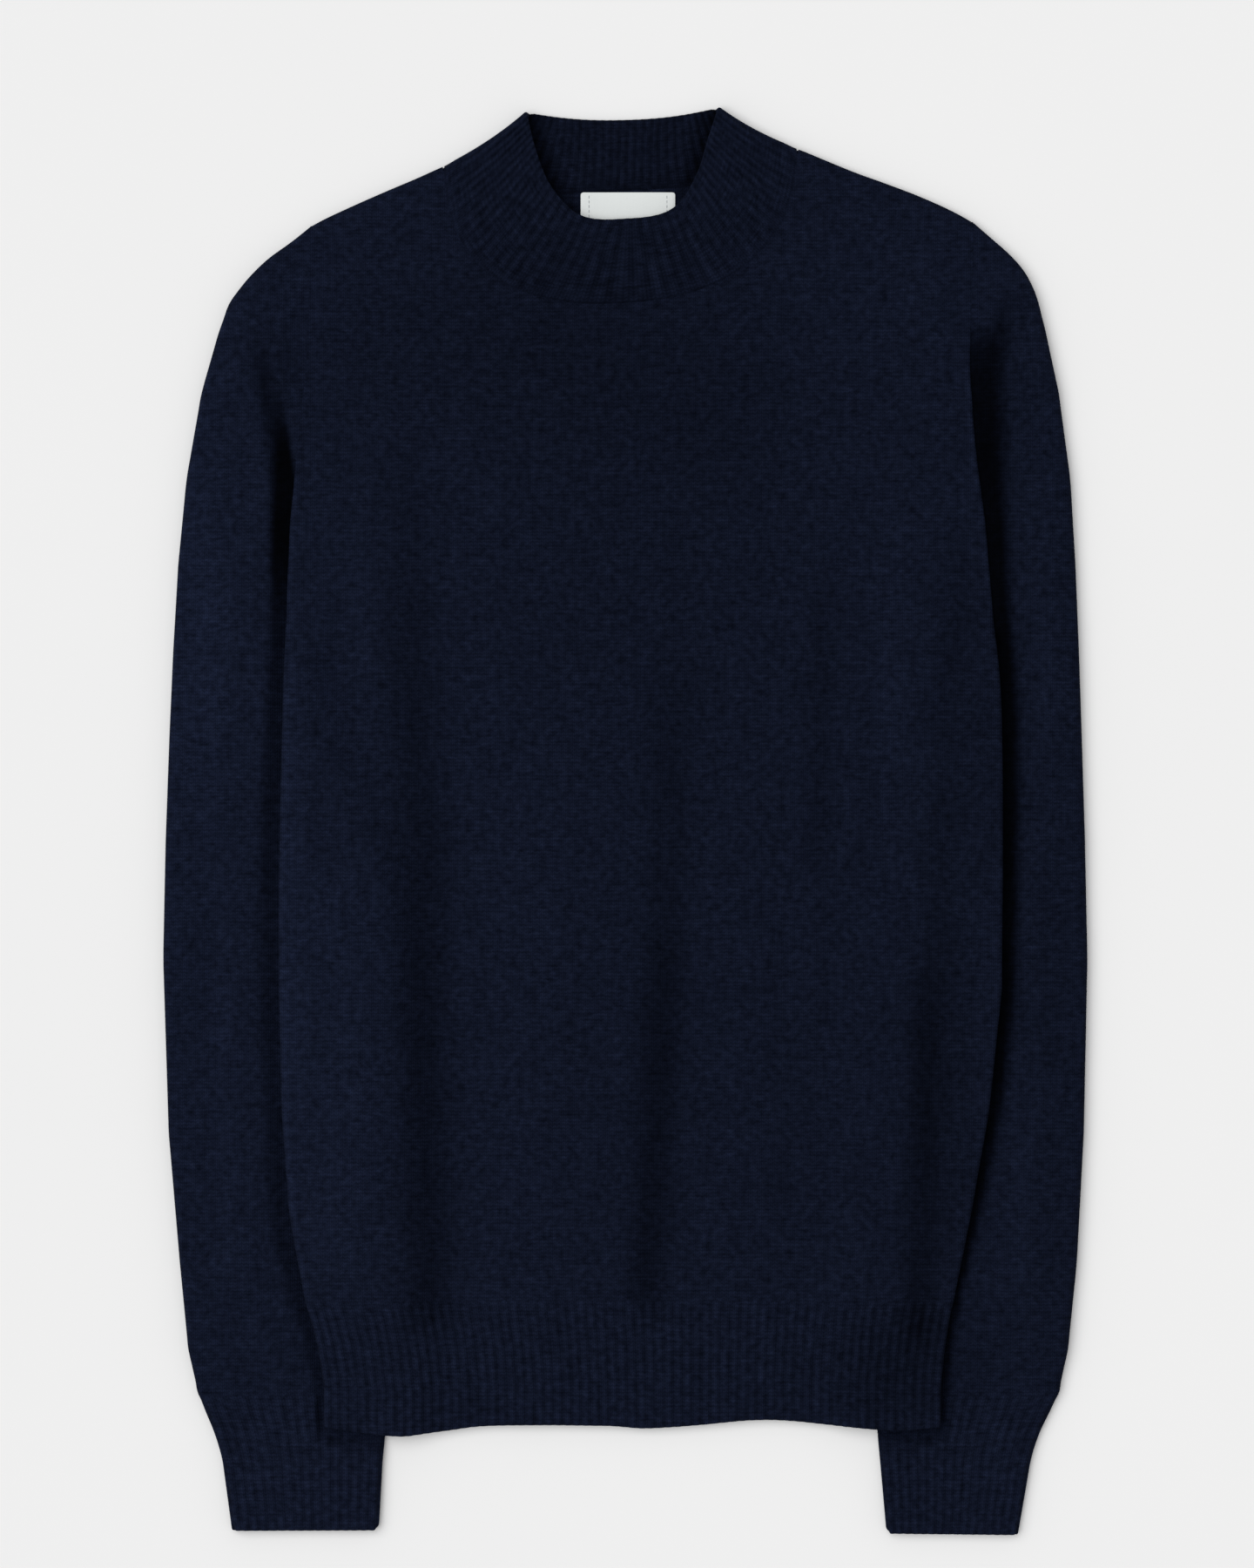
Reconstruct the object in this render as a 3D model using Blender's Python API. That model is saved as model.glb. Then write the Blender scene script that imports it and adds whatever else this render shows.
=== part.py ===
"""A dark navy mock neck sweater laid flat, its body on top of the inner halves of its sleeves.

All sizes are in millimetres and become metres when a mesh is made. +X is the wearer's left, +Y points
from the hem to the collar and +Z up from the surface that the sweater lies on. Each piece is a knitted
wall of its own, 0.3 mm from its neighbours along the seams.

On each side a place is given by its distance out from the middle, so both sides share their formulas.
"""

import math
from typing import Callable, NamedTuple

import bmesh
import bpy
from mathutils import Vector

OBJECT_NAME = "mock_neck_sweater"
METRE = 0.001

# Cloth.
KNIT_WALL = 2.2
CUFF_WALL = 2.0
COLLAR_WALL = 3.0
RIB_RISE = 0.8
HIDDEN_RIB_SHARE = 0.3
SEAM_GAP = 0.3
HALF_GAP = SEAM_GAP / 2
FOLD_EXTRA_GAP = 0.08

# Heights above the surface.
BODY_LOFT = 7.0
SIDE_LOFT = 8.2
SIDE_LOFT_WIDTH = 45.0
HIDDEN_SLEEVE = 5.0
HIDDEN_CUFF = 4.5
BODY_LIFT = 5.45
SLEEVE_LOFT = 8.0
SLEEVE_CROWN = 1.4
CUFF_LOFT = 6.8
ARMHOLE_DIP = 2.0
COLLAR_RIM_LOFT = 8.2

# Widths across, over which the heights change.
SIDE_ROLL_LEAD = 20.0
SIDE_ROLL_RUN = 40.0
SIDE_FOLD_RUN = 12.0
CAP_ROLL_WIDTH = 16.0
CUFF_ROLL_WIDTH = 3.0
ROLL_CLEARANCE = 0.5
CROWN_RUN = 30.0
VALLEY_START = 6.0
CUFF_RIB_RUN = 4.0

# Lengths along the body.
RIB_TOP_Y = -254.0
HEM_Y = -320.0
WRIST_Y = -303.5
WRIST_RUN = 30.0
LIFT_RUN = 36.0
RAMP_RUN = 24.0
RAMP_LEAD = 7.0
DIP_START_Y = 225.0
DIP_RUN = 30.0
HEM_CLEARANCE = 4.0
DIVE_Y = 62.0
DIVE_RUN = 38.0
DIVE_WIDTH = 3.5

# Rib counts on the side that shows.
HEM_RIBS = 66
CUFF_RIBS = 17
COLLAR_FRONT_RIBS = 44
COLLAR_BACK_COLUMNS = 22

# Neck: superellipses that hang from the fold line between the two neck points.
NECK_RIGHT = (-95.7, 346.1)
NECK_LEFT = (90.6, 355.4)
FRONT_NECK_DROP = 77.0
BACK_NECK_DROP = 17.5
NECK_POWER = 2.4
COLLAR_TOP_RIGHT = (-52.0, 375.1)
COLLAR_TOP_LEFT = (49.2, 377.4)
FRONT_NECK_COLUMNS = 20
BACK_NECK_COLUMNS = 10
BACK_RIM_DIP = 5.6
BACK_RIM_POWER = 2.2
FOLD_RADIUS = 3.5

# Neck label.
LABEL_WIDTH = 50.0
LABEL_LENGTH = 25.0
LABEL_THICK = 1.0
LABEL_TOP = (1.4, 332.4)
LABEL_CORNER = 1.5

# Colours (linear) and roughness.
NAVY = (0.0052, 0.0070, 0.0160)
LABEL_WHITE = (0.68, 0.71, 0.71)
WOOL_ROUGHNESS = 0.9
LABEL_ROUGHNESS = 0.6

# A quarter circle in three steps, as shares of its radius from the edge.
ROUND_STEPS = (0.0, 0.134, 0.5, 1.0)
SLOPE_STEP = 0.02


class SideRow(NamedTuple):
    """The body's side line: armhole seam above the underarm, side fold below it."""

    y: float
    right: float
    left: float


SIDE_LINE = (
    SideRow(y=315, right=166.5, left=184.5),
    SideRow(y=250, right=168.4, left=182.6),
    SideRow(y=213, right=171.6, left=183.5),
    SideRow(y=176, right=176.2, left=188.6),
    SideRow(y=140, right=178.4, left=192.3),
    SideRow(y=112, right=179.4, left=194.4),
    SideRow(y=66, right=181.0, left=198.7),
    SideRow(y=-26, right=183.1, left=199.6),
    SideRow(y=-96, right=183.1, left=198.7),
    SideRow(y=-141, right=182.2, left=194.1),
    SideRow(y=-183, right=180.0, left=187.2),
    SideRow(y=-235, right=174.2, left=177.6),
    SideRow(y=-263, right=166.5, left=171.6),
    SideRow(y=-281, right=161.9, left=168.8),
    SideRow(y=-320, right=158.2, left=166.1),
)


class LinePoint(NamedTuple):
    x: float
    y: float


SHOULDER_LINE = (
    LinePoint(-166.5, 314.0),
    LinePoint(-146.0, 323.5),
    LinePoint(-128.0, 332.0),
    LinePoint(-112.0, 338.5),
    LinePoint(*NECK_RIGHT),
    LinePoint(*NECK_LEFT),
    LinePoint(111.0, 346.5),
    LinePoint(125.0, 341.5),
    LinePoint(150.0, 332.0),
    LinePoint(169.0, 323.5),
    LinePoint(184.5, 315.8),
)

HEM_LINE = (
    LinePoint(-158.0, -319.5),
    LinePoint(-141.0, -322.2),
    LinePoint(-118.0, -324.5),
    LinePoint(-100.0, -322.7),
    LinePoint(-73.0, -319.5),
    LinePoint(-8.0, -319.5),
    LinePoint(10.0, -320.8),
    LinePoint(33.0, -319.5),
    LinePoint(74.0, -316.3),
    LinePoint(116.0, -319.5),
    LinePoint(143.0, -321.2),
    LinePoint(166.0, -319.5),
)


class RimRow(NamedTuple):
    """The front collar's upper edge, by its share of the ribs from the wearer's right."""

    share: float
    x: float
    y: float


FRONT_RIM = (
    RimRow(share=0.00, x=COLLAR_TOP_RIGHT[0], y=COLLAR_TOP_RIGHT[1]),
    RimRow(share=0.12, x=-45.1, y=355.4),
    RimRow(share=0.25, x=-35.9, y=334.7),
    RimRow(share=0.35, x=-24.4, y=321.6),
    RimRow(share=0.50, x=0.9, y=317.6),
    RimRow(share=0.64, x=24.4, y=320.9),
    RimRow(share=0.78, x=37.7, y=341.6),
    RimRow(share=0.89, x=43.2, y=359.9),
    RimRow(share=1.00, x=COLLAR_TOP_LEFT[0], y=COLLAR_TOP_LEFT[1]),
)


class Section(NamedTuple):
    """A section across a sleeve, from the outline to the end that tucks under the body."""

    outer: float
    outer_y: float
    inner: float
    inner_y: float


RIGHT_SLEEVE = (
    Section(outer=166.5, outer_y=314.0, inner=179.4, inner_y=111.6),
    Section(outer=178.0, outer_y=304.8, inner=180.0, inner_y=108.0),
    Section(outer=190.9, outer_y=295.6, inner=180.1, inner_y=104.0),
    Section(outer=199.8, outer_y=286.4, inner=180.25, inner_y=100.0),
    Section(outer=208.8, outer_y=275.0, inner=180.4, inner_y=95.0),
    Section(outer=214.8, outer_y=258.8, inner=180.6, inner_y=90.0),
    Section(outer=224.0, outer_y=226.6, inner=180.85, inner_y=84.0),
    Section(outer=232.0, outer_y=180.6, inner=181.1, inner_y=76.0),
    Section(outer=236.4, outer_y=135.0, inner=181.3, inner_y=66.0),
    Section(outer=239.0, outer_y=90.0, inner=172.0, inner_y=50.0),
    Section(outer=241.0, outer_y=45.0, inner=158.0, inner_y=22.0),
    Section(outer=243.0, outer_y=-10.0, inner=142.0, inner_y=-20.0),
    Section(outer=244.3, outer_y=-72.5, inner=131.0, inner_y=-75.0),
    Section(outer=241.4, outer_y=-164.5, inner=126.0, inner_y=-165.0),
    Section(outer=235.5, outer_y=-233.5, inner=123.0, inner_y=-234.0),
    Section(outer=231.0, outer_y=-279.5, inner=122.5, inner_y=-280.0),
    Section(outer=225.6, outer_y=WRIST_Y, inner=124.0, inner_y=WRIST_Y),
)
RIGHT_CUFF = (
    Section(outer=225.4, outer_y=WRIST_Y, inner=124.0, inner_y=WRIST_Y),
    Section(outer=216.4, outer_y=-325.5, inner=127.0, inner_y=-325.5),
    Section(outer=212.0, outer_y=-343.0, inner=128.8, inner_y=-343.0),
    Section(outer=207.9, outer_y=-374.9, inner=130.4, inner_y=-374.7),
)
LEFT_SLEEVE = (
    Section(outer=184.5, outer_y=315.8, inner=194.4, inner_y=112.0),
    Section(outer=197.3, outer_y=304.8, inner=195.2, inner_y=109.0),
    Section(outer=207.5, outer_y=295.6, inner=195.6, inner_y=105.0),
    Section(outer=213.4, outer_y=287.0, inner=196.0, inner_y=101.0),
    Section(outer=217.6, outer_y=277.0, inner=196.5, inner_y=96.0),
    Section(outer=222.2, outer_y=258.8, inner=197.0, inner_y=91.0),
    Section(outer=229.1, outer_y=226.6, inner=197.6, inner_y=84.0),
    Section(outer=235.3, outer_y=180.6, inner=198.4, inner_y=76.0),
    Section(outer=238.0, outer_y=135.0, inner=199.0, inner_y=66.0),
    Section(outer=239.8, outer_y=90.0, inner=191.0, inner_y=50.0),
    Section(outer=241.3, outer_y=45.0, inner=177.0, inner_y=22.0),
    Section(outer=243.0, outer_y=-10.0, inner=158.0, inner_y=-20.0),
    Section(outer=244.3, outer_y=-72.5, inner=143.0, inner_y=-75.0),
    Section(outer=242.4, outer_y=-164.5, inner=135.0, inner_y=-165.0),
    Section(outer=238.7, outer_y=-233.5, inner=131.5, inner_y=-234.0),
    Section(outer=234.0, outer_y=-279.5, inner=131.0, inner_y=-280.0),
    Section(outer=228.8, outer_y=WRIST_Y, inner=131.5, inner_y=WRIST_Y),
)
LEFT_CUFF = (
    Section(outer=228.6, outer_y=WRIST_Y, inner=131.5, inner_y=WRIST_Y),
    Section(outer=218.0, outer_y=-325.5, inner=133.6, inner_y=-325.5),
    Section(outer=213.2, outer_y=-343.0, inner=135.2, inner_y=-343.0),
    Section(outer=207.5, outer_y=-377.2, inner=138.0, inner_y=-376.4),
)


class Trough(NamedTuple):
    """A soft fold pressed into the front, from its upper end to its lower end."""

    top_x: float
    top_y: float
    low_x: float
    low_y: float
    depth: float
    half_width: float


TROUGHS = (
    Trough(top_x=-112, top_y=150, low_x=-105, low_y=-258, depth=1.7, half_width=15),
    Trough(top_x=27, top_y=40, low_x=11, low_y=-258, depth=1.5, half_width=14),
    Trough(top_x=157, top_y=-40, low_x=153, low_y=-262, depth=1.6, half_width=11),
    Trough(top_x=110, top_y=150, low_x=108, low_y=40, depth=0.9, half_width=14),
)
TROUGH_FADE = 70.0


class Valley(NamedTuple):
    """The crease that runs down the sleeve's cap into the armhole."""

    outer: float
    outer_y: float
    inner: float
    inner_y: float


VALLEY_DEPTH = 2.0
VALLEY_HALF_WIDTH = 9.0


class Side(NamedTuple):
    """One side of the sweater; sign is the side's direction along X."""

    name: str
    sign: int
    edge: Callable
    tuck: Callable
    underarm_y: float
    sleeve: tuple
    cuff: tuple
    valley: Valley


# ---------------------------------------------------------------------------------------------------
# Small formulas


def ease(share):
    """0 to 1 with a level start and end."""
    share = min(max(share, 0.0), 1.0)
    return share * share * (3.0 - 2.0 * share)


def mix(first, second, share):
    return first + (second - first) * share


def quarter_round(share):
    """The height of a quarter circle of radius 1 at this distance from its edge."""
    share = min(max(share, 0.0), 1.0)
    return math.sqrt(1.0 - (1.0 - share) ** 2)


def smooth_curve(places, values):
    """A curve through the values, level with its neighbours' slope at each; held at both ends."""
    knots = sorted(zip(places, values))
    last = len(knots) - 1

    def slope(index):
        before = knots[max(index - 1, 0)]
        after = knots[min(index + 1, last)]
        return (after[1] - before[1]) / (after[0] - before[0])

    slopes = [slope(index) for index in range(last + 1)]

    def value_at(place):
        if place <= knots[0][0]:
            return knots[0][1]
        if place >= knots[last][0]:
            return knots[last][1]
        index = next(i for i in range(last) if place < knots[i + 1][0])
        (start, low), (end, high) = knots[index], knots[index + 1]
        run = end - start
        t = (place - start) / run
        return (
            low * (1 + 2 * t) * (1 - t) ** 2
            + high * (3 - 2 * t) * t**2
            + slopes[index] * run * t * (1 - t) ** 2
            - slopes[index + 1] * run * t**2 * (1 - t)
        )

    return value_at


def line_curve(points):
    return smooth_curve([point.x for point in points], [point.y for point in points])


def distance_to_line(x, y, start_x, start_y, end_x, end_y):
    run = Vector((end_x - start_x, end_y - start_y))
    offset = Vector((x - start_x, y - start_y))
    share = min(max(offset.dot(run) / run.length_squared, 0.0), 1.0)
    return (offset - run * share).length


def bell(share):
    """1 in the middle, 0 at a share of 1 or more."""
    return 1.0 - ease(abs(share))


shoulder_y = line_curve(SHOULDER_LINE)
hem_y = line_curve(HEM_LINE)


def tuck_curve(sleeve, cuff):
    """How far out the sleeve's inner end lies, by y."""
    sections = sleeve + cuff[1:]
    return smooth_curve([s.inner_y for s in sections], [s.inner for s in sections])


RIGHT = Side(
    name="right",
    sign=-1,
    edge=smooth_curve([row.y for row in SIDE_LINE], [row.right for row in SIDE_LINE]),
    tuck=tuck_curve(RIGHT_SLEEVE, RIGHT_CUFF),
    underarm_y=111.6,
    sleeve=RIGHT_SLEEVE,
    cuff=RIGHT_CUFF,
    valley=Valley(outer=193.7, outer_y=242.0, inner=179.0, inner_y=198.0),
)
LEFT = Side(
    name="left",
    sign=1,
    edge=smooth_curve([row.y for row in SIDE_LINE], [row.left for row in SIDE_LINE]),
    tuck=tuck_curve(LEFT_SLEEVE, LEFT_CUFF),
    underarm_y=112.0,
    sleeve=LEFT_SLEEVE,
    cuff=LEFT_CUFF,
    valley=Valley(outer=199.0, outer_y=266.0, inner=192.0, inner_y=200.0),
)


def side_of(x):
    return LEFT if x > 0 else RIGHT


# ---------------------------------------------------------------------------------------------------
# Heights of the body


def body_lift(x, y):
    """How far the back's underside is held up by the sleeve below it."""
    side = side_of(x)
    out = side.sign * x
    over_sleeve = ease((out - side.tuck(y) + RAMP_LEAD) / RAMP_RUN + 1.0)
    below_underarm = ease((side.underarm_y - y) / LIFT_RUN)
    return BODY_LIFT * over_sleeve * below_underarm


def trough_depth(trough, x, y):
    share = (y - trough.low_y) / (trough.top_y - trough.low_y)
    middle = mix(trough.low_x, trough.top_x, share)
    fade = ease((trough.top_y - y) / TROUGH_FADE) * ease((y - trough.low_y + TROUGH_FADE) / TROUGH_FADE)
    return trough.depth * fade * bell((x - middle) / trough.half_width)


def body_loft(x, y):
    """The height of the front's outside above the back's underside."""
    side = side_of(x)
    inward = side.edge(y) - side.sign * x
    below_underarm = ease((side.underarm_y + SIDE_ROLL_LEAD - y) / SIDE_ROLL_RUN)
    side_roll = ease(1.0 - inward / SIDE_LOFT_WIDTH) * below_underarm
    folds = sum(trough_depth(trough, x, y) for trough in TROUGHS)
    return BODY_LOFT + (SIDE_LOFT - BODY_LOFT) * side_roll - folds


def armhole_low(y):
    """The height of the armhole seam: level with the cloth at the shoulder, low beside the chest."""
    return HIDDEN_SLEEVE + ARMHOLE_DIP * ease((y - DIP_START_Y) / DIP_RUN)


def rolled(low, high, inward):
    """A quarter circle from low at the edge to high inside; low may be above high."""
    radius = abs(high - low)
    if radius < 1e-6:
        return high
    return low + (high - low) * quarter_round(inward / radius)


def below_fold(x, y):
    """How far a place lies below the shoulder fold, square to it."""
    slope = (shoulder_y(x + 1.0) - shoulder_y(x - 1.0)) / 2.0
    return (shoulder_y(x) - y) / math.hypot(1.0, slope)


def front_height(x, y):
    """The front's outside."""
    side = side_of(x)
    inward = side.edge(y) - HALF_GAP - side.sign * x
    under = body_lift(x, y)
    top = under + body_loft(x, y)
    middle = (under + top) / 2.0 + HALF_GAP
    at_side = ease((side.underarm_y - y) / SIDE_FOLD_RUN)
    height = rolled(mix(armhole_low(y), middle, at_side), top, inward)
    fold = middle + FOLD_EXTRA_GAP
    return mix(fold, height, quarter_round(below_fold(x, y) / FOLD_RADIUS))


def back_height(x, y):
    """The back's outside, which is its underside."""
    side = side_of(x)
    inward = side.edge(y) - HALF_GAP - side.sign * x
    under = body_lift(x, y)
    middle = under + body_loft(x, y) / 2.0 - HALF_GAP
    at_side = ease((side.underarm_y - y) / SIDE_FOLD_RUN)
    height = rolled(mix(under, middle, at_side), under, inward)
    fold = middle - FOLD_EXTRA_GAP
    return mix(fold, height, quarter_round(below_fold(x, y) / FOLD_RADIUS))


# ---------------------------------------------------------------------------------------------------
# Neck


def power_arc(share, power):
    """Across and down on a superellipse, for a share from its left end to its right end."""
    angle = math.pi * share
    across = -math.copysign(abs(math.cos(angle)) ** (2.0 / power), math.cos(angle))
    down = max(math.sin(angle), 0.0) ** (2.0 / power)
    return across, down


def seam_corner(share, drop, grow):
    across, down = power_arc(share, NECK_POWER)
    half = (NECK_LEFT[0] - NECK_RIGHT[0]) / 2.0
    x = (NECK_LEFT[0] + NECK_RIGHT[0]) / 2.0 + (half + grow) * across
    fold_y = mix(NECK_RIGHT[1], NECK_LEFT[1], (x - NECK_RIGHT[0]) / (2.0 * half))
    return x, fold_y - (drop + grow) * down


def neck_seam(share, drop, grow):
    """The neck seam that hangs this far from the fold line; grow widens it.

    It runs straight between the ends of the panel's columns, so panel and collar keep their gap.
    """
    steps = FRONT_NECK_COLUMNS if drop == FRONT_NECK_DROP else BACK_NECK_COLUMNS
    step = min(int(share * steps), steps - 1)
    start = seam_corner(step / steps, drop, grow)
    end = seam_corner((step + 1) / steps, drop, grow)
    part = share * steps - step
    return mix(start[0], end[0], part), mix(start[1], end[1], part)


front_rim_x = smooth_curve([row.share for row in FRONT_RIM], [row.x for row in FRONT_RIM])
front_rim_y = smooth_curve([row.share for row in FRONT_RIM], [row.y for row in FRONT_RIM])


def back_rim(share):
    x = mix(COLLAR_TOP_RIGHT[0], COLLAR_TOP_LEFT[0], share)
    fold_y = mix(COLLAR_TOP_RIGHT[1], COLLAR_TOP_LEFT[1], share)
    return x, fold_y - BACK_RIM_DIP * (1.0 - abs(2.0 * share - 1.0) ** BACK_RIM_POWER)


def collar_plan(share, rise, front):
    if front:
        seam = neck_seam(share, FRONT_NECK_DROP, -HALF_GAP)
        rim = (front_rim_x(share), front_rim_y(share))
    else:
        seam = neck_seam(share, BACK_NECK_DROP, -HALF_GAP)
        rim = back_rim(share)
    return Vector((mix(seam[0], rim[0], rise), mix(seam[1], rim[1], rise), 0.0))


def collar_point(share, rise, front):
    """The collar's plain outside; rise goes from the seam to the upper edge."""
    point = collar_plan(share, rise, front)
    fold = collar_plan(round(share), rise, front)
    top = mix(BODY_LOFT, COLLAR_RIM_LOFT, ease(rise)) if front else 0.0
    point.z = mix(FOLD_RADIUS, top, quarter_round((point - fold).length / FOLD_RADIUS))
    return point


# ---------------------------------------------------------------------------------------------------
# Sleeves and cuffs

CAP_PLACES = 4.0
CROSSING_STEPS = 200
ROLL_STATIONS = (3.0, 1.0)


def section_at(sections, place):
    """The section at this place along the rows, on a smooth curve through them."""
    index = min(int(place), len(sections) - 2)
    t = place - index
    rows = [sections[min(max(index + step, 0), len(sections) - 1)] for step in (-1, 0, 1, 2)]

    def through(a, b, c, d):
        return 0.5 * (
            2 * b + (c - a) * t + (2 * a - 5 * b + 4 * c - d) * t**2 + (3 * b - a - 3 * c + d) * t**3
        )

    return Section(*(through(*values) for values in zip(*rows)))


def outside_body(side, out, y):
    """How far a place lies outside the body's outline; negative under the body."""
    return max(out - side.edge(y), hem_y(side.sign * out) - HEM_CLEARANCE - y)


def sleeve_height(side, out, y):
    """The sleeve's top: low and flat under the body, rolled up beside it."""
    dive = DIVE_WIDTH * bell((y - DIVE_Y) / DIVE_RUN)
    clear = outside_body(side, out, y) - dive
    low = armhole_low(y)
    flush = ease((y - DIP_START_Y) / DIP_RUN)
    near_wrist = ease((WRIST_Y + WRIST_RUN - y) / WRIST_RUN)
    high = mix(SLEEVE_LOFT, CUFF_LOFT, near_wrist)
    roll_width = mix(high - low, CAP_ROLL_WIDTH, flush)
    top = low + (high - low) * quarter_round((clear - ROLL_CLEARANCE * (1.0 - flush)) / roll_width)
    crown = SLEEVE_CROWN * ease(clear / CROWN_RUN) * (1.0 - near_wrist)
    valley = side.valley
    away = distance_to_line(out, y, valley.outer, valley.outer_y, valley.inner, valley.inner_y)
    crease = VALLEY_DEPTH * bell(away / VALLEY_HALF_WIDTH) * ease(clear / VALLEY_START)
    return top + crown - crease


def cuff_height(side, out, y):
    clear = outside_body(side, out, y)
    roll = quarter_round((clear - ROLL_CLEARANCE) / CUFF_ROLL_WIDTH)
    return HIDDEN_CUFF + (CUFF_LOFT - HIDDEN_CUFF) * roll


class Tube(NamedTuple):
    """A flattened sleeve or cuff; height gives its top over a place."""

    side: Side
    sections: tuple
    height: Callable
    armhole: bool


def tube_plan(tube, place, along):
    """The place on the ground at this distance from the section's outer end."""
    section = section_at(tube.sections, place)
    length = section_length(tube, place)
    share = along / length
    out = mix(section.outer, section.inner, share)
    y = mix(section.outer_y, section.inner_y, share)
    if tube.armhole:
        seam = tube.side.edge(y) + HALF_GAP
        straight = mix(tube.sections[0].outer, tube.sections[0].inner, share)
        bend = near_armhole(place) ** 2
        out += (seam - straight) * bend
    return out, y


def near_armhole(place):
    """1 at the armhole seam, 0 from the cap's last section on."""
    return max(1.0 - place / CAP_PLACES, 0.0)


def section_length(tube, place):
    section = section_at(tube.sections, place)
    return math.hypot(section.outer - section.inner, section.outer_y - section.inner_y)


def end_radius(tube, place, along):
    out, y = tube_plan(tube, place, along)
    return tube.height(tube.side, out, y) / 2.0


def tube_point(tube, place, along, upper):
    """The plain outside on the upper or the lower side."""
    length = section_length(tube, place)
    out, y = tube_plan(tube, place, along)
    top = tube.height(tube.side, out, y)
    outer_radius = end_radius(tube, place, 0.0)
    inner_radius = end_radius(tube, place, length)
    at_end = outer_radius if along < length / 2.0 else inner_radius
    roundness = quarter_round(along / outer_radius) * quarter_round((length - along) / inner_radius)
    z = mix(at_end, top if upper else 0.0, roundness)
    return Vector((tube.side.sign * out, y, z))


def body_crossing(tube, place):
    """The distance along a section at which it goes under the body."""
    length = section_length(tube, place)
    if outside_body(tube.side, *tube_plan(tube, place, length)) > 0.0:
        return length
    step = length / CROSSING_STEPS
    along = 0.0
    while along < length and outside_body(tube.side, *tube_plan(tube, place, along)) > ROLL_CLEARANCE:
        along += step
    return along


def tube_stations(tube, place, ribs):
    """Distances along a section, upper side out to in, then lower side back out."""
    length = section_length(tube, place)
    outer_radius = end_radius(tube, place, 0.0)
    inner_radius = end_radius(tube, place, length)
    outer_round = [outer_radius * step for step in ROUND_STEPS]
    inner_round = [length - inner_radius * step for step in reversed(ROUND_STEPS)]
    start, end = outer_round[-1], inner_round[0]
    if ribs:
        between = [mix(start, end, number / (2 * ribs)) for number in range(1, 2 * ribs)]
        below = [mix(start, end, share) for share in (1 / 3, 2 / 3)]
    else:
        before, close = ROLL_STATIONS
        crossing = min(body_crossing(tube, place), end - before)
        between = [mix(start, crossing - before, 0.5), crossing - before, crossing - close, crossing]
        between.append(mix(crossing, end, 0.5))
        below = [mix(start, end, number / 6) for number in range(1, 6)]
        near_seam = near_armhole(place)
        seam = seam_stations(tube)
        between = [mix(along, at_seam, near_seam) for along, at_seam in zip(between, seam)]
        below = [mix(along, at_seam, near_seam) for along, at_seam in zip(below, seam)]
    upper = outer_round + between + inner_round
    lower = inner_round[2::-1] + below[::-1] + outer_round[:0:-1]
    return [(along, True) for along in upper] + [(along, False) for along in lower]


def seam_stations(tube):
    """Distances along the armhole seam at the rows of the body panels."""
    shoulder = tube.sections[0]
    top_y = side_column_top(tube.side)
    drops = [shoulder.outer_y - body_row_y(top_y, share) for share in SEAM_ROWS]
    length = section_length(tube, 0.0)
    return [length * drop / (shoulder.outer_y - shoulder.inner_y) for drop in drops]


# ---------------------------------------------------------------------------------------------------
# Walls


def facing(normal, upward):
    normal.normalize()
    return normal if (normal.z > 0) == upward else -normal


def sheet_place(height, x, y, upward):
    """A point of a sheet that is a height over the ground, and its outward normal."""
    step_x = -math.copysign(SLOPE_STEP, x)
    base = height(x, y)
    slope_x = (height(x + step_x, y) - base) / step_x
    slope_y = (height(x, y - SLOPE_STEP) - base) / -SLOPE_STEP
    return Vector((x, y, base)), facing(Vector((-slope_x, -slope_y, 1.0)), upward)


def surface_place(surface, a, b, step_a, step_b, upward):
    """The same for a surface of two parameters."""
    point = surface(a, b)
    along_a = surface(a + step_a, b) - point
    along_b = surface(a, b + step_b) - point
    return point, facing(along_a.cross(along_b), upward)


def cloth_wall(name, places, thickness, rise, material, ring=False):
    """A wall from rows of (point, normal) on its plain outside.

    Ribs are raised on the outside only. A ring's last column meets its first.
    """
    columns = len(places[0])
    rows = len(places)
    bm = bmesh.new()
    around = columns if ring else columns - 1
    bmesh.ops.create_grid(bm, x_segments=around, y_segments=rows - 1, size=0.5)
    column_of = bm.verts.layers.int.new("column")
    row_of = bm.verts.layers.int.new("row")
    for vert in bm.verts:
        vert[column_of] = round((vert.co.x + 0.5) * around) % columns
        vert[row_of] = round((vert.co.y + 0.5) * (rows - 1))
    outer = bm.faces[:]
    inner = bmesh.ops.extrude_face_region(bm, geom=outer, use_keep_orig=True)["geom"]
    inner = {item for item in inner if isinstance(item, bmesh.types.BMVert)}
    for vert in bm.verts:
        column, row = vert[column_of], vert[row_of]
        point, normal = places[row][column]
        depth = -thickness if vert in inner else rise(column, row)
        vert.co = (point + normal * depth) * METRE
    if ring:
        close_ring(bm, inner, column_of)
    bmesh.ops.recalc_face_normals(bm, faces=bm.faces)
    return add_piece(name, bm, material)


def close_ring(bm, inner, column_of):
    """Joins the grid's two end columns, without the walls that the extrusion put between them."""

    def joins_layers(face):
        at_end = all(vert[column_of] == 0 for vert in face.verts)
        return at_end and len({vert in inner for vert in face.verts}) == 2

    between = [face for face in bm.faces if joins_layers(face)]
    bmesh.ops.delete(bm, geom=between, context="FACES_ONLY")
    bmesh.ops.remove_doubles(bm, verts=bm.verts, dist=1e-7)


def wool(name, colour, roughness):
    material = bpy.data.materials.new(name)
    material.use_nodes = True
    shader = material.node_tree.nodes["Principled BSDF"]
    shader.inputs["Base Color"].default_value = (*colour, 1.0)
    shader.inputs["Roughness"].default_value = roughness
    shader.inputs["Metallic"].default_value = 0.0
    material.diffuse_color = (*colour, 1.0)
    return material


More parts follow.
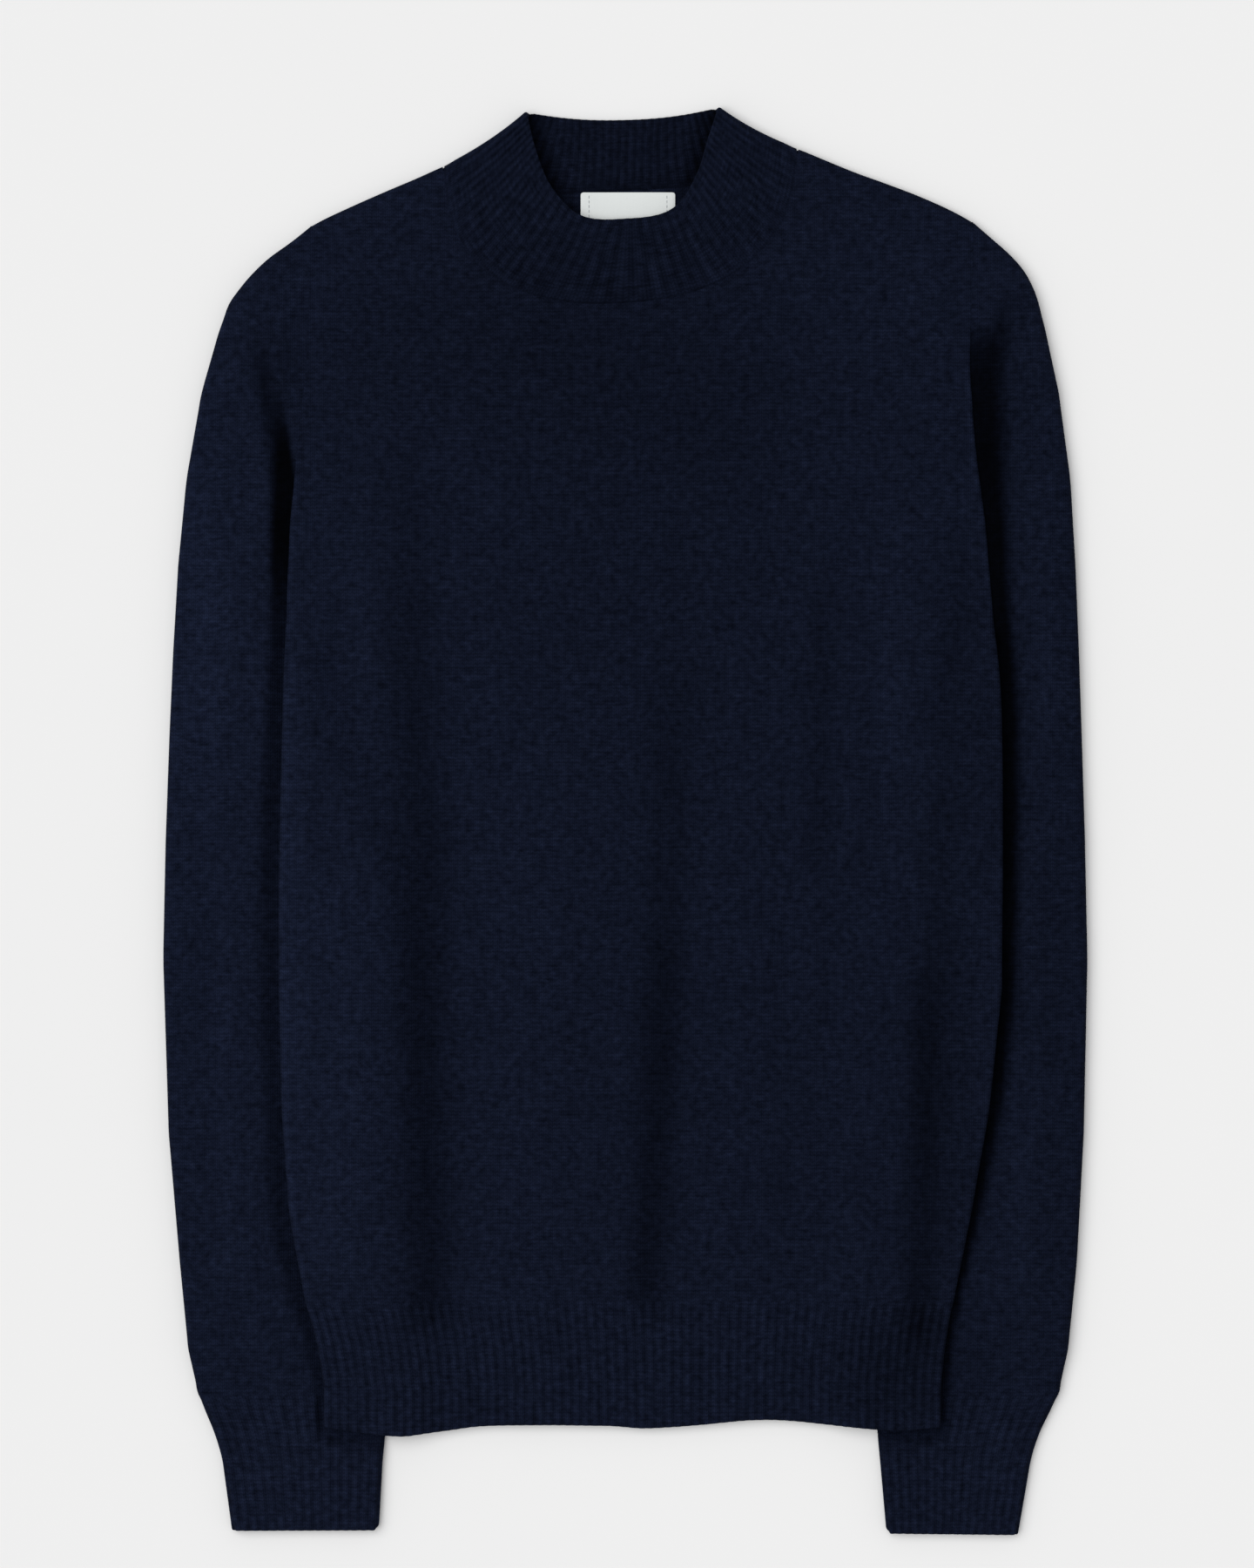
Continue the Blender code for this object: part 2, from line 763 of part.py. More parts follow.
def add_piece(name, bm, material):
    mesh = bpy.data.meshes.new(name)
    bm.to_mesh(mesh)
    bm.free()
    mesh.materials.append(material)
    mesh.shade_smooth()
    mesh.set_sharp_from_angle(angle=math.radians(50))
    piece = bpy.data.objects.new(name, mesh)
    bpy.data.collections[OBJECT_NAME].objects.link(piece)
    return piece


def plain(_column, _row):
    return 0.0


# ---------------------------------------------------------------------------------------------------
# Body


SIDE_ROUND = [SIDE_LOFT / 2.0 * step for step in ROUND_STEPS]
BODY_INSETS = SIDE_ROUND + [13.0, 23.0, 33.0, 43.0, 53.0, 63.0]
NECK_POINT_INSET = 75.0
LOWER_ROWS = (0.0, 0.08, 0.18, 0.29, 0.39, 0.45, 0.50)
UNDERARM_ROWS = (0.54, 0.565, 0.59, 0.615, 0.64, 0.67)
UPPER_ROWS = (0.73, 0.80, 0.87, 0.94, 1.0)
SEAM_ROWS = (0.94, 0.87, 0.80, 0.73, 0.67)
BODY_ROWS = LOWER_ROWS + UNDERARM_ROWS + UPPER_ROWS
TOP_ROUND = [FOLD_RADIUS * step for step in ROUND_STEPS]

# The shoulder fold slopes, so its rows lie a little further down along Y than square to it.
SLOPED_ROW = 1.1
LAST_ROW = 1.2


class Column(NamedTuple):
    """A column of the body: its place at the hem rib, and its end on the shoulder or the neck seam."""

    low_x: float
    top_x: float
    top_y: float


def shoulder_columns(side):
    """The columns from the side line to the neck point."""
    neck = NECK_LEFT if side is LEFT else NECK_RIGHT
    low_edge = side.edge(RIB_TOP_Y) - HALF_GAP
    shoulder = side.sleeve[0]
    top_edge = shoulder.outer - HALF_GAP
    neck_out = abs(neck[0]) + HALF_GAP
    columns = []
    for inset in BODY_INSETS:
        x = side.sign * (top_edge - inset)
        columns.append(Column(side.sign * (low_edge - inset), x, shoulder_y(x)))
    low_x = side.sign * (low_edge - NECK_POINT_INSET)
    columns.append(Column(low_x, side.sign * neck_out, neck[1]))
    return columns


def body_columns(drop, neck_columns):
    right = shoulder_columns(RIGHT)
    left = shoulder_columns(LEFT)
    middle = []
    for number in range(1, neck_columns):
        share = number / neck_columns
        x, y = neck_seam(share, drop, HALF_GAP)
        middle.append(Column(mix(right[-1].low_x, left[-1].low_x, share), x, y))
    return right + middle + left[::-1]


def side_column_top(side):
    return shoulder_y(side.sign * (side.sleeve[0].outer - HALF_GAP))


def body_row_y(top_y, share):
    return mix(RIB_TOP_Y + HALF_GAP, top_y - FOLD_RADIUS * LAST_ROW, share)


def body_x(column, y, share):
    """A column's place at this height: it keeps its inset from the side line, eased from low to high."""
    low_share = side_share(column.low_x, RIB_TOP_Y)
    top_share = side_share(column.top_x, column.top_y)
    across = mix(low_share, top_share, ease(share) ** 2)
    right = -RIGHT.edge(y) + HALF_GAP
    left = LEFT.edge(y) - HALF_GAP
    return mix(right, left, across)


def side_share(x, y):
    right = -RIGHT.edge(y) + HALF_GAP
    left = LEFT.edge(y) - HALF_GAP
    return (x - right) / (left - right)


def body_places(height, drop, neck_columns, upward):
    columns = body_columns(drop, neck_columns)
    places = []
    for share in BODY_ROWS:
        line = []
        for column in columns:
            y = body_row_y(column.top_y, share)
            line.append(sheet_place(height, body_x(column, y, share), y, upward))
        places.append(line)
    for inset in reversed(TOP_ROUND[:-1]):
        line = []
        for column in columns:
            y = column.top_y - inset * SLOPED_ROW
            line.append(sheet_place(height, body_x(column, y, 1.0), y, upward))
        places.append(line)
    return places


def make_panels(navy):
    front = body_places(front_height, FRONT_NECK_DROP, FRONT_NECK_COLUMNS, True)
    cloth_wall("front_panel", front, KNIT_WALL, plain, navy)
    back = body_places(back_height, BACK_NECK_DROP, BACK_NECK_COLUMNS, False)
    cloth_wall("back_panel", back, KNIT_WALL, plain, navy)


HEM_SHARES = (0.0, 0.5, 1.0)


def hem_places(height, columns, upward):
    """Rows from the panel's edge to the hem line; columns are shares across."""
    places = []
    for share in HEM_SHARES:
        line = []
        for across in columns:
            y = mix(RIB_TOP_Y - HALF_GAP, HEM_Y, share)
            right = -RIGHT.edge(y) + HALF_GAP
            left = LEFT.edge(y) - HALF_GAP
            x = mix(right, left, across)
            y = mix(RIB_TOP_Y - HALF_GAP, hem_y(x), share)
            line.append(sheet_place(height, x, y, upward))
        places.append(line)
    return places


def hem_columns(insets, inner_count):
    """Shares across the hem: the given insets at each side, and even steps between them."""
    width = RIGHT.edge(RIB_TOP_Y) + LEFT.edge(RIB_TOP_Y)
    ends = [inset / width for inset in insets]
    first, last = ends[-1], 1.0 - ends[-1]
    inner = [mix(first, last, number / inner_count) for number in range(1, inner_count)]
    return ends + inner + [1.0 - share for share in reversed(ends)]


def make_hems(navy):
    first_rib = len(SIDE_ROUND)
    columns = hem_columns(SIDE_ROUND, 2 * HEM_RIBS)

    def rib(column, _row):
        inside = first_rib <= column < len(columns) - first_rib
        return RIB_RISE if inside and (column - first_rib) % 2 == 0 else 0.0

    cloth_wall("front_hem_rib", hem_places(front_height, columns, True), KNIT_WALL, rib, navy)
    back_columns = hem_columns(BODY_INSETS + [NECK_POINT_INSET], BACK_NECK_COLUMNS)
    cloth_wall("back_hem_rib", hem_places(back_height, back_columns, False), KNIT_WALL, plain, navy)


# ---------------------------------------------------------------------------------------------------
# Sleeves, cuffs, collar and label

# Rows along the tubes, as places in their tables of sections. The rows at the wrist keep half the seam gap.
SLEEVE_PLACES = (0, 0.1, 0.25, 0.5, 1, 2, 3, 4, 5, 6, 7, 8, 9, 10, 11, 12, 13, 14, 15, 15.993)
CUFF_PLACES = (0.007, 0.8, 1.14, 1.8, 3)


def tube_places(tube, stops, ribs):
    places = []
    for place in stops:
        step = -SLOPE_STEP if place > 1 else SLOPE_STEP
        line = []
        for along, upper in tube_stations(tube, place, ribs):
            inward = SLOPE_STEP if along < section_length(tube, place) / 2.0 else -SLOPE_STEP

            def surface(a, b, upper=upper):
                return tube_point(tube, a, b, upper)

            point, normal = surface_place(surface, place, along, step * 0.2, inward, upper)
            line.append((point, square_rim(tube, place, normal)))
        places.append(line)
    return places


def square_rim(tube, place, normal):
    """Keeps a wall's end on its own side of the seam: at the wrist square, at the armhole not outward."""
    at_wrist = place >= len(tube.sections) - 1.01 if tube.armhole else place < 0.01
    if at_wrist:
        normal.y = 0.0
    elif tube.armhole and place == 0 and normal.x * tube.side.sign > 0:
        normal.x = 0.0
    return normal.normalized()


def make_sleeves(navy):
    for side in (LEFT, RIGHT):
        sleeve = Tube(side, side.sleeve, sleeve_height, armhole=True)
        places = tube_places(sleeve, SLEEVE_PLACES, 0)
        cloth_wall(f"{side.name}_sleeve", places, KNIT_WALL, plain, navy, ring=True)
        cuff = Tube(side, side.cuff, cuff_height, armhole=False)
        places = tube_places(cuff, CUFF_PLACES, CUFF_RIBS)
        first_rib = len(ROUND_STEPS)
        last_rib = first_rib + 2 * CUFF_RIBS - 1

        def rib(column, row, side=side, places=places, first_rib=first_rib, last_rib=last_rib):
            if not first_rib <= column < last_rib or (column - first_rib) % 2:
                return 0.0
            point = places[row][column][0]
            clear = outside_body(side, side.sign * point.x, point.y)
            return RIB_RISE * mix(HIDDEN_RIB_SHARE, 1.0, ease(clear / CUFF_RIB_RUN))

        cloth_wall(f"{side.name}_cuff", places, CUFF_WALL, rib, navy, ring=True)


COLLAR_FRONT_ROUND = (0.0, 0.001, 0.004, 0.009)
COLLAR_BACK_ROUND = (0.003, 0.01, 0.022)
COLLAR_RISES = (0.0, 0.35, 0.7, 1.0)


def make_collar(navy):
    first, last = COLLAR_FRONT_ROUND[-1], 1.0 - COLLAR_FRONT_ROUND[-1]
    steps = 2 * COLLAR_FRONT_RIBS
    front = list(COLLAR_FRONT_ROUND)
    front += [mix(first, last, number / steps) for number in range(1, steps)]
    front += [1.0 - share for share in reversed(COLLAR_FRONT_ROUND)]
    back = [1.0 - share for share in COLLAR_BACK_ROUND]
    back += [1.0 - number / COLLAR_BACK_COLUMNS for number in range(1, COLLAR_BACK_COLUMNS)]
    back += list(reversed(COLLAR_BACK_ROUND))
    stations = [(share, True) for share in front] + [(share, False) for share in back]
    places = []
    for rise in COLLAR_RISES:
        step = -1e-4 if rise > 0.5 else 1e-4
        line = []
        for share, is_front in stations:
            inward = 1e-5 if share < 0.5 else -1e-5

            def surface(a, b, is_front=is_front):
                return collar_point(a, b, is_front)

            line.append(surface_place(surface, share, rise, inward, step, is_front))
        places.append(line)
    first_rib = len(COLLAR_FRONT_ROUND)

    def rib(column, _row):
        inside = first_rib <= column < first_rib + steps - 1
        return RIB_RISE if inside and (column - first_rib) % 2 == 0 else 0.0

    cloth_wall("collar", places, COLLAR_WALL, rib, navy, ring=True)


def make_label(white):
    bm = bmesh.new()
    bmesh.ops.create_cube(bm, size=1.0)
    bmesh.ops.scale(bm, vec=Vector((LABEL_WIDTH, LABEL_LENGTH, LABEL_THICK)) * METRE, verts=bm.verts)

    def upright(edge):
        return abs(edge.verts[0].co.z - edge.verts[1].co.z) > LABEL_THICK * METRE / 2

    corners = [edge for edge in bm.edges if upright(edge)]
    bmesh.ops.bevel(
        bm, geom=corners, offset=LABEL_CORNER * METRE, segments=3, profile=0.5, affect="EDGES", material=-1
    )
    middle_z = KNIT_WALL + SEAM_GAP + LABEL_THICK / 2.0
    middle = Vector((LABEL_TOP[0], LABEL_TOP[1] - LABEL_LENGTH / 2.0, middle_z))
    bmesh.ops.translate(bm, vec=middle * METRE, verts=bm.verts)
    add_piece("neck_label", bm, white)


def main():
    for item in list(bpy.data.objects):
        bpy.data.objects.remove(item, do_unlink=True)
    collection = bpy.data.collections.new(OBJECT_NAME)
    bpy.context.scene.collection.children.link(collection)
    plain_knit = wool("navy_plain_knit", NAVY, WOOL_ROUGHNESS)
    rib_knit = wool("navy_rib_knit", NAVY, WOOL_ROUGHNESS)
    woven_label = wool("white_woven_label", LABEL_WHITE, LABEL_ROUGHNESS)
    make_panels(plain_knit)
    make_hems(rib_knit)
    make_sleeves(plain_knit)
    make_collar(rib_knit)
    make_label(woven_label)


main()
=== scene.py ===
"""The looks of a dark navy mock neck sweater that lies flat: knit, ribs, seams, soft folds and label.

Shapes are worked out in millimetres and become metres when a mesh is made. +X is the wearer's left, +Y
points from the hem to the collar and +Z up. A piece starts as rows and columns of points on its
outside, which follow its solid's form, and becomes a closed wall of cloth.

On each side a place is given by its distance out from the middle, so both sides share their formulas.
"""

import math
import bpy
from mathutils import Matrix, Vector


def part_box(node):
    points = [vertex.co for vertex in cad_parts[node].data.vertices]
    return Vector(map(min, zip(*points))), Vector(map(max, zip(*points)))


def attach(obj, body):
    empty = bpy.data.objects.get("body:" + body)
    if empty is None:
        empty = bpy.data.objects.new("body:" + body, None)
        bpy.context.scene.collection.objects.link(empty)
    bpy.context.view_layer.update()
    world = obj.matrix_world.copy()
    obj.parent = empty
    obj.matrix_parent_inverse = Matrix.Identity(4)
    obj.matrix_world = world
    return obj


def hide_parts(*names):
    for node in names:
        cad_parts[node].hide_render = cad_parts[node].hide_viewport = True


bl_info = {
    "name": "Mock neck sweater",
    "version": (1, 0, 0),
    "blender": (4, 5, 0),
    "location": "3D View > Sidebar > Sweater",
    "description": "Dresses the packed sweater with knit cloth, ribs, seams, folds and a bare label",
    "category": "Object",
}

from typing import Callable, NamedTuple

import bmesh
import bpy
import numpy as np
from bpy.props import FloatProperty, FloatVectorProperty, IntProperty, PointerProperty, StringProperty
from mathutils import Vector

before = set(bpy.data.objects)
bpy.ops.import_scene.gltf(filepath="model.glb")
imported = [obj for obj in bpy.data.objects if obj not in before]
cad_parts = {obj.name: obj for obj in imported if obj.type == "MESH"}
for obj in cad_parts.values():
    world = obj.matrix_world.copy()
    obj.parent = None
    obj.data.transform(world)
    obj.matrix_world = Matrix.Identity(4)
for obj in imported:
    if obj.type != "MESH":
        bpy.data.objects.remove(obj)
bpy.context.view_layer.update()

METRE = 0.001
MILLIMETRES = 1000.0

# Heights of the sweater as it lies, as in its solids.
BODY_LOFT = 7.0
SIDE_LOFT = 8.2
SIDE_LOFT_WIDTH = 45.0
HIDDEN_SLEEVE = 5.0
HIDDEN_CUFF = 4.5
BODY_LIFT = 5.45
SLEEVE_LOFT = 8.0
SLEEVE_CROWN = 1.4
CUFF_LOFT = 6.8
ARMHOLE_DIP = 2.0
COLLAR_RIM_LOFT = 9.6
FOLD_RADIUS = 3.5
SEAM_HALF_GAP = 0.15

# Where the heights change along the body. A run is the distance that a change takes, a lead how far
# before its place it starts.
LIFT_RUN = 36.0
RAMP_RUN = 24.0
RAMP_LEAD = 7.0
DIP_RUN = 22.0
SIDE_FOLD_RUN = 12.0
SIDE_ROLL_LEAD = 20.0
SIDE_ROLL_RUN = 40.0
WRIST_RUN = 30.0
CROWN_RUN = 30.0
UNDERARM_Y = 112.0
HEM_CLEARANCE = 4.0
CUFF_RISE_RUN = 5.0
# Folds fade out this close to the body's edge, and this close to the groove on a sleeve.
FOLD_FREE_BODY = 12.0
FOLD_FREE_SLEEVE = 6.0

# The sleeve is free of the body below FREE_Y. Its end is tucked in under the body's rolled side from
# there down to TUCK_Y, and is low enough there for the body to rest on it.
TUCK_Y = 46.0
TUCK_RUN = 16.0
TUCK_LEAD = 10.0
TUCK_REACH = 6.0
TUCK_TOP = 1.8
TUCK_GAP = 0.25
FREE_Y = 97.0
JOIN_RUN = 6.0

# Ribs on the side that shows, and all round the collar.
HEM_RIBS = 66
CUFF_RIBS = 17
COLLAR_FRONT_RIBS = 44
COLLAR_BACK_RIBS = 28
POINTS_A_RIB = 8


class RimRow(NamedTuple):
    """A place on the front collar's upper edge as it falls open, at a share of its ribs."""

    share: float
    x: float
    y: float


RIM = (
    RimRow(0.00, -52.0, 375.1),
    RimRow(0.12, -47.0, 355.4),
    RimRow(0.25, -38.3, 334.7),
    RimRow(0.35, -25.6, 321.1),
    RimRow(0.50, 0.9, 318.1),
    RimRow(0.64, 24.4, 323.2),
    RimRow(0.78, 37.7, 342.4),
    RimRow(0.89, 43.2, 360.2),
    RimRow(1.00, 49.2, 377.4),
)
BACK_RIM_DIP = 5.6
BACK_RIM_POWER = 2.2
NECK_POWER = 2.4

# The camera looks straight down. The frame is 1440 by 1800 pixels of 0.46 mm.
PIXEL = 0.46
FRAME_HEIGHT = 1800 * PIXEL
FRAME_CENTRE = (0.9, 19.6)
CAMERA_DISTANCE = 3000.0
SENSOR = 36.0


# ---- What a user would change ----


class SweaterCloth(bpy.types.PropertyGroup):
    knit_wall: FloatProperty(
        name="Plain knit", description="Thickness of the plain knit", default=0.0022, unit="LENGTH"
    )
    rib_wall: FloatProperty(
        name="Rib knit", description="Thickness of the ribs' ground", default=0.0021, unit="LENGTH"
    )
    collar_wall: FloatProperty(
        name="Collar", description="Thickness of the collar's ground", default=0.0026, unit="LENGTH"
    )
    rib_relief: FloatProperty(
        name="Rib relief", description="How far a rib stands up", default=0.0009, unit="LENGTH"
    )
    fold_depth: FloatProperty(
        name="Folds", description="Share of the soft folds' full depth", default=1.0, subtype="FACTOR"
    )
    grid: FloatProperty(
        name="Grid", description="Distance between points on plain cloth", default=0.0026, unit="LENGTH"
    )
    stitches_a_metre: IntProperty(
        name="Stitches", description="Stitches for each metre across", default=430, subtype="UNSIGNED"
    )


class SweaterColours(bpy.types.PropertyGroup):
    navy: StringProperty(name="Wool", description="Colour of the wool", default="101524")
    label: StringProperty(name="Label", description="Colour of the neck label", default="dadedd")
    thread: StringProperty(name="Thread", description="Colour of the label's stitches", default="a9adb0")
    floor: StringProperty(name="Floor", description="Colour of the floor", default="e9e9e9")
    sheen_tint: FloatVectorProperty(
        name="Fuzz", description="Colour of the wool's fuzz", default=(0.30, 0.36, 0.55), subtype="COLOR"
    )


def cloth_setting(name):
    """A length of the cloth settings in millimetres."""
    return getattr(bpy.context.scene.sweater_cloth, name) * MILLIMETRES


def linear(hex_colour):
    """The linear colour of an sRGB hex value."""
    values = [int(hex_colour[start : start + 2], 16) / 255 for start in (0, 2, 4)]
    return [v / 12.92 if v <= 0.04045 else ((v + 0.055) / 1.055) ** 2.4 for v in values]


# ---- Small formulas on arrays ----


def ease(share):
    """0 to 1 with a level start and end."""
    share = np.clip(share, 0.0, 1.0)
    return share * share * (3.0 - 2.0 * share)


def mix(first, second, share):
    return first + (second - first) * share


def quarter_round(share):
    """The height of a quarter circle of radius 1 at this distance from its edge."""
    share = np.clip(share, 0.0, 1.0)
    return np.sqrt(1.0 - (1.0 - share) ** 2)


def bell(share):
    """1 in the middle, 0 at a share of 1 or more."""
    return 1.0 - ease(np.abs(share))


def smooth_curve(places, values):
    """A curve through the values, level with its neighbours' slope at each; held at both ends."""
    order = np.argsort(places)
    knots = np.asarray(places, float)[order]
    levels = np.asarray(values, float)[order]
    slopes = np.gradient(levels, knots)

    def value_at(place):
        place = np.clip(place, knots[0], knots[-1])
        index = np.clip(np.searchsorted(knots, place, side="right") - 1, 0, len(knots) - 2)
        run = knots[index + 1] - knots[index]
        t = (place - knots[index]) / run
        return (
            levels[index] * (1 + 2 * t) * (1 - t) ** 2
            + levels[index + 1] * (3 - 2 * t) * t**2
            + slopes[index] * run * t * (1 - t) ** 2
            - slopes[index + 1] * run * t**2 * (1 - t)
        )

    return value_at


def distance_to_line(x, y, start, end):
    """The distance of places from a line, and how far along it they lie, from 0 to 1."""
    run_x, run_y = end[0] - start[0], end[1] - start[1]
    share = ((x - start[0]) * run_x + (y - start[1]) * run_y) / (run_x**2 + run_y**2)
    held = np.clip(share, 0.0, 1.0)
    away = np.hypot(x - start[0] - run_x * held, y - start[1] - run_y * held)
    return away, held


# ---- Outlines, read from the solids ----


def node_edges(node):
    """Start and end points of the edges of a solid's triangles, in millimetres."""
    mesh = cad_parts[node].data
    mesh.calc_loop_triangles()
    points = np.array([vert.co for vert in mesh.vertices]) * MILLIMETRES
    corners = points[np.array([tri.vertices for tri in mesh.loop_triangles])]
    return corners.reshape(-1, 3), np.roll(corners, -1, axis=1).reshape(-1, 3)


def reach(node, axis, places):
    """The lowest and the highest place that a solid reaches across, at places along an axis."""
    starts, ends = node_edges(node)
    low, high = [], []
    for place in places:
        before = starts[:, axis] - place
        after = ends[:, axis] - place
        crossing = (before * after <= 0) & (before != after)
        share = before[crossing] / (before[crossing] - after[crossing])
        across = mix(starts[crossing, 1 - axis], ends[crossing, 1 - axis], share)
        low.append(across.min())
        high.append(across.max())
    return np.array(low), np.array(high)


def joined_reach(lower_node, lower_y, upper_node, upper_y):
    """Heights on a node and on the one above it, with the lowest and the highest place across at each."""
    lower, upper = reach(lower_node, 1, lower_y), reach(upper_node, 1, upper_y)
    return tuple(np.concatenate(pair) for pair in zip((lower_y, *lower), (upper_y, *upper)))


def box_mm(node):
    low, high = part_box(node)
    return low * MILLIMETRES, high * MILLIMETRES


OUTLINE_STEP = 16.0
EDGE_STEP = 8.0
# Corners are rounded, so outlines are read from this far off the ends.
CUFF_END = 12.0
HEM_END = 8.0
SHOULDER_END = 4.0
CORNER_INSET = 2.5
HEM_KNOTS = 40


def heights_of(node, step):
    """Heights from just above a node's lower end to just below its upper end."""
    low, high = (corner.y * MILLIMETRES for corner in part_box(node))
    margin = 0.05
    return np.linspace(low + margin, high - margin, max(int((high - low) / step), 3))


def side_lines():
    """How far out the body's edge lies on the right and the left, by y."""
    panel_y = heights_of("front_panel", OUTLINE_STEP)
    panel_y = panel_y[panel_y < box_mm("left_sleeve")[1].y - SHOULDER_END]
    hem_y = heights_of("front_hem_rib", OUTLINE_STEP)
    hem_y = hem_y[hem_y > HEM_LOW_Y + HEM_END][:-1]
    y, low, high = joined_reach("front_hem_rib", hem_y, "front_panel", panel_y)
    return smooth_curve(y, -low), smooth_curve(y, high)


RIB_TOP_Y = box_mm("front_hem_rib")[1].y + SEAM_HALF_GAP
HEM_LOW_Y = box_mm("front_hem_rib")[0].y
WRIST_Y = box_mm("left_cuff")[1].y + SEAM_HALF_GAP
right_edge, left_edge = side_lines()


def hem_bottom():
    """The hem's lower edge by x, held level beyond its corners."""
    first, last = CORNER_INSET - right_edge(HEM_LOW_Y), left_edge(HEM_LOW_Y) - CORNER_INSET
    x = np.linspace(first, last, HEM_KNOTS)
    return smooth_curve(x, reach("front_hem_rib", 0, x)[0])


hem_line = hem_bottom()

# Neck points: where the collar meets the shoulder fold.
NECK_RIGHT_X = box_mm("collar")[0].x - SEAM_HALF_GAP
NECK_LEFT_X = box_mm("collar")[1].x + SEAM_HALF_GAP


# The shoulder fold rises a little more at its outer ends, so that it meets the sleeve without a corner.
ROUND_RISE = 0.8
ROUND_RUN = 13.0


def shoulder_line():
    """The shoulder fold by x, straight between the neck points."""
    right_top = box_mm("right_sleeve")[1].y
    left_top = box_mm("left_sleeve")[1].y
    shoulder_right, shoulder_left = -right_edge(right_top), left_edge(left_top)
    right = np.linspace(shoulder_right + 1.0, NECK_RIGHT_X - 0.5, 6)
    left = np.linspace(NECK_LEFT_X + 0.5, shoulder_left - 1.0, 7)
    x = np.concatenate([right, left])
    line = smooth_curve(x, reach("front_panel", 0, x)[1])

    def rounded(place):
        from_end = np.where(place < 0, place - shoulder_right, shoulder_left - place)
        share = np.maximum(from_end, 0.0) / ROUND_RUN
        return line(place) + ROUND_RISE * share * np.exp(1.0 - share)

    return rounded


shoulder_y = shoulder_line()
NECK_RIGHT = (NECK_RIGHT_X, float(shoulder_y(NECK_RIGHT_X)))
NECK_LEFT = (NECK_LEFT_X, float(shoulder_y(NECK_LEFT_X)))
NECK_HALF = (NECK_LEFT[0] - NECK_RIGHT[0]) / 2.0
NECK_MIDDLE = (NECK_LEFT[0] + NECK_RIGHT[0]) / 2.0
FRONT_NECK_DROP = (NECK_RIGHT[1] + NECK_LEFT[1]) / 2 - box_mm("collar")[0].y + SEAM_HALF_GAP
BACK_NECK_DROP = 17.5


class Side(NamedTuple):
    """One side of the sweater. Its curves are by y: how far out the body's edge, the sleeve's outer fold
    and its inner end lie, and the groove beside the body with its painted shade. sign is the side's
    direction along X, and the armhole seam lies low, in the groove, up to dip_y."""

    name: str
    sign: int
    edge: Callable
    outer: Callable
    inner: Callable
    groove: Callable
    groove_dark: Callable
    groove_from: Callable
    groove_fade: float
    dip_y: float


def lengthened(places, values, start):
    """The curve's knots with one more before the first, straight on."""
    slope = (values[1] - values[0]) / (places[1] - places[0])
    return np.append(start, places), np.append(values[0] + slope * (start - places[0]), values)


def tucked_in(y):
    """1 where the sleeve's end goes in under the rolled side of the body, just below the underarm."""
    return ease((y - TUCK_Y) / TUCK_RUN) * ease((FREE_Y + JOIN_RUN + TUCK_LEAD - y) / TUCK_LEAD)


def joined(y):
    """1 where the sleeve is sewn to the body, 0 where it is free."""
    return ease((y - FREE_Y) / JOIN_RUN)


def at_side(y):
    """0 along the armhole, 1 where the front and the back meet along the body's side."""
    return ease((UNDERARM_Y + 2.0 - y) / SIDE_FOLD_RUN)


def sleeve_lines(name, sign):
    """How far out the sleeve and its cuff reach, and where they end inward, by y."""
    sleeve, cuff = f"{name}_sleeve", f"{name}_cuff"
    cuff_low, cuff_high = box_mm(cuff)
    cuff_y = np.linspace(cuff_low.y + CUFF_END, cuff_high.y - 1.5, 8)
    y, low, high = joined_reach(cuff, cuff_y, sleeve, heights_of(sleeve, EDGE_STEP))
    outer, inner = (high, low) if sign > 0 else (-low, -high)
    start = cuff_low.y - CUFF_END
    return smooth_curve(*lengthened(y, outer, start)), smooth_curve(*lengthened(y, inner, start))


class GrooveRow(NamedTuple):
    """The groove beside the body at a height: its width on each side, the share of the light that is
    lost in it, which is painted into the colour as shade, and how far out the right one starts."""

    y: float
    right: float
    right_dark: float
    right_from: float
    left: float
    left_dark: float


GROOVE = (
    GrooveRow(-330, 4, 0.35, 0, 3.2, 0.6),
    GrooveRow(-280, 6, 0.38, 0, 3.8, 0.7),
    GrooveRow(-222, 11, 0.4, 0, 5.5, 0.9),
    GrooveRow(-170, 10.5, 0.35, 0, 8, 0.95),
    GrooveRow(-80, 10.5, 0.35, 0, 9.5, 1),
    GrooveRow(20, 11, 0.45, 0, 10.5, 1),
    GrooveRow(110, 9, 0.65, 0, 11.5, 1),
    GrooveRow(128, 9.5, 0.9, 0, 12, 1),
    GrooveRow(140, 10, 1, 0, 13, 1),
    GrooveRow(175, 12, 1, 0, 15.5, 1),
    GrooveRow(200, 13.5, 1, 6, 19, 1),
    GrooveRow(210, 14.5, 0.7, 8.5, 20, 0.98),
    GrooveRow(220, 16, 0.3, 11, 20.5, 0.96),
    GrooveRow(240, 18, 0, 12, 20.5, 0.88),
    GrooveRow(250, 18, 0, 12, 20.5, 0.72),
    GrooveRow(259, 18, 0, 12, 20.5, 0.35),
    GrooveRow(266, 18, 0, 12, 20.5, 0),
)


def groove_curve(column):
    return smooth_curve([row.y for row in GROOVE], [getattr(row, column) for row in GROOVE])


RIGHT = Side(
    "right", -1, right_edge, *sleeve_lines("right", -1),
    groove=groove_curve("right"),
    groove_dark=groove_curve("right_dark"),
    groove_from=groove_curve("right_from"),
    groove_fade=0.55,
    dip_y=172.0,
)
LEFT = Side(
    "left", 1, left_edge, *sleeve_lines("left", 1),
    groove=groove_curve("left"),
    groove_dark=groove_curve("left_dark"),
    groove_from=np.zeros_like,
    groove_fade=0.75,
    dip_y=243.0,
)


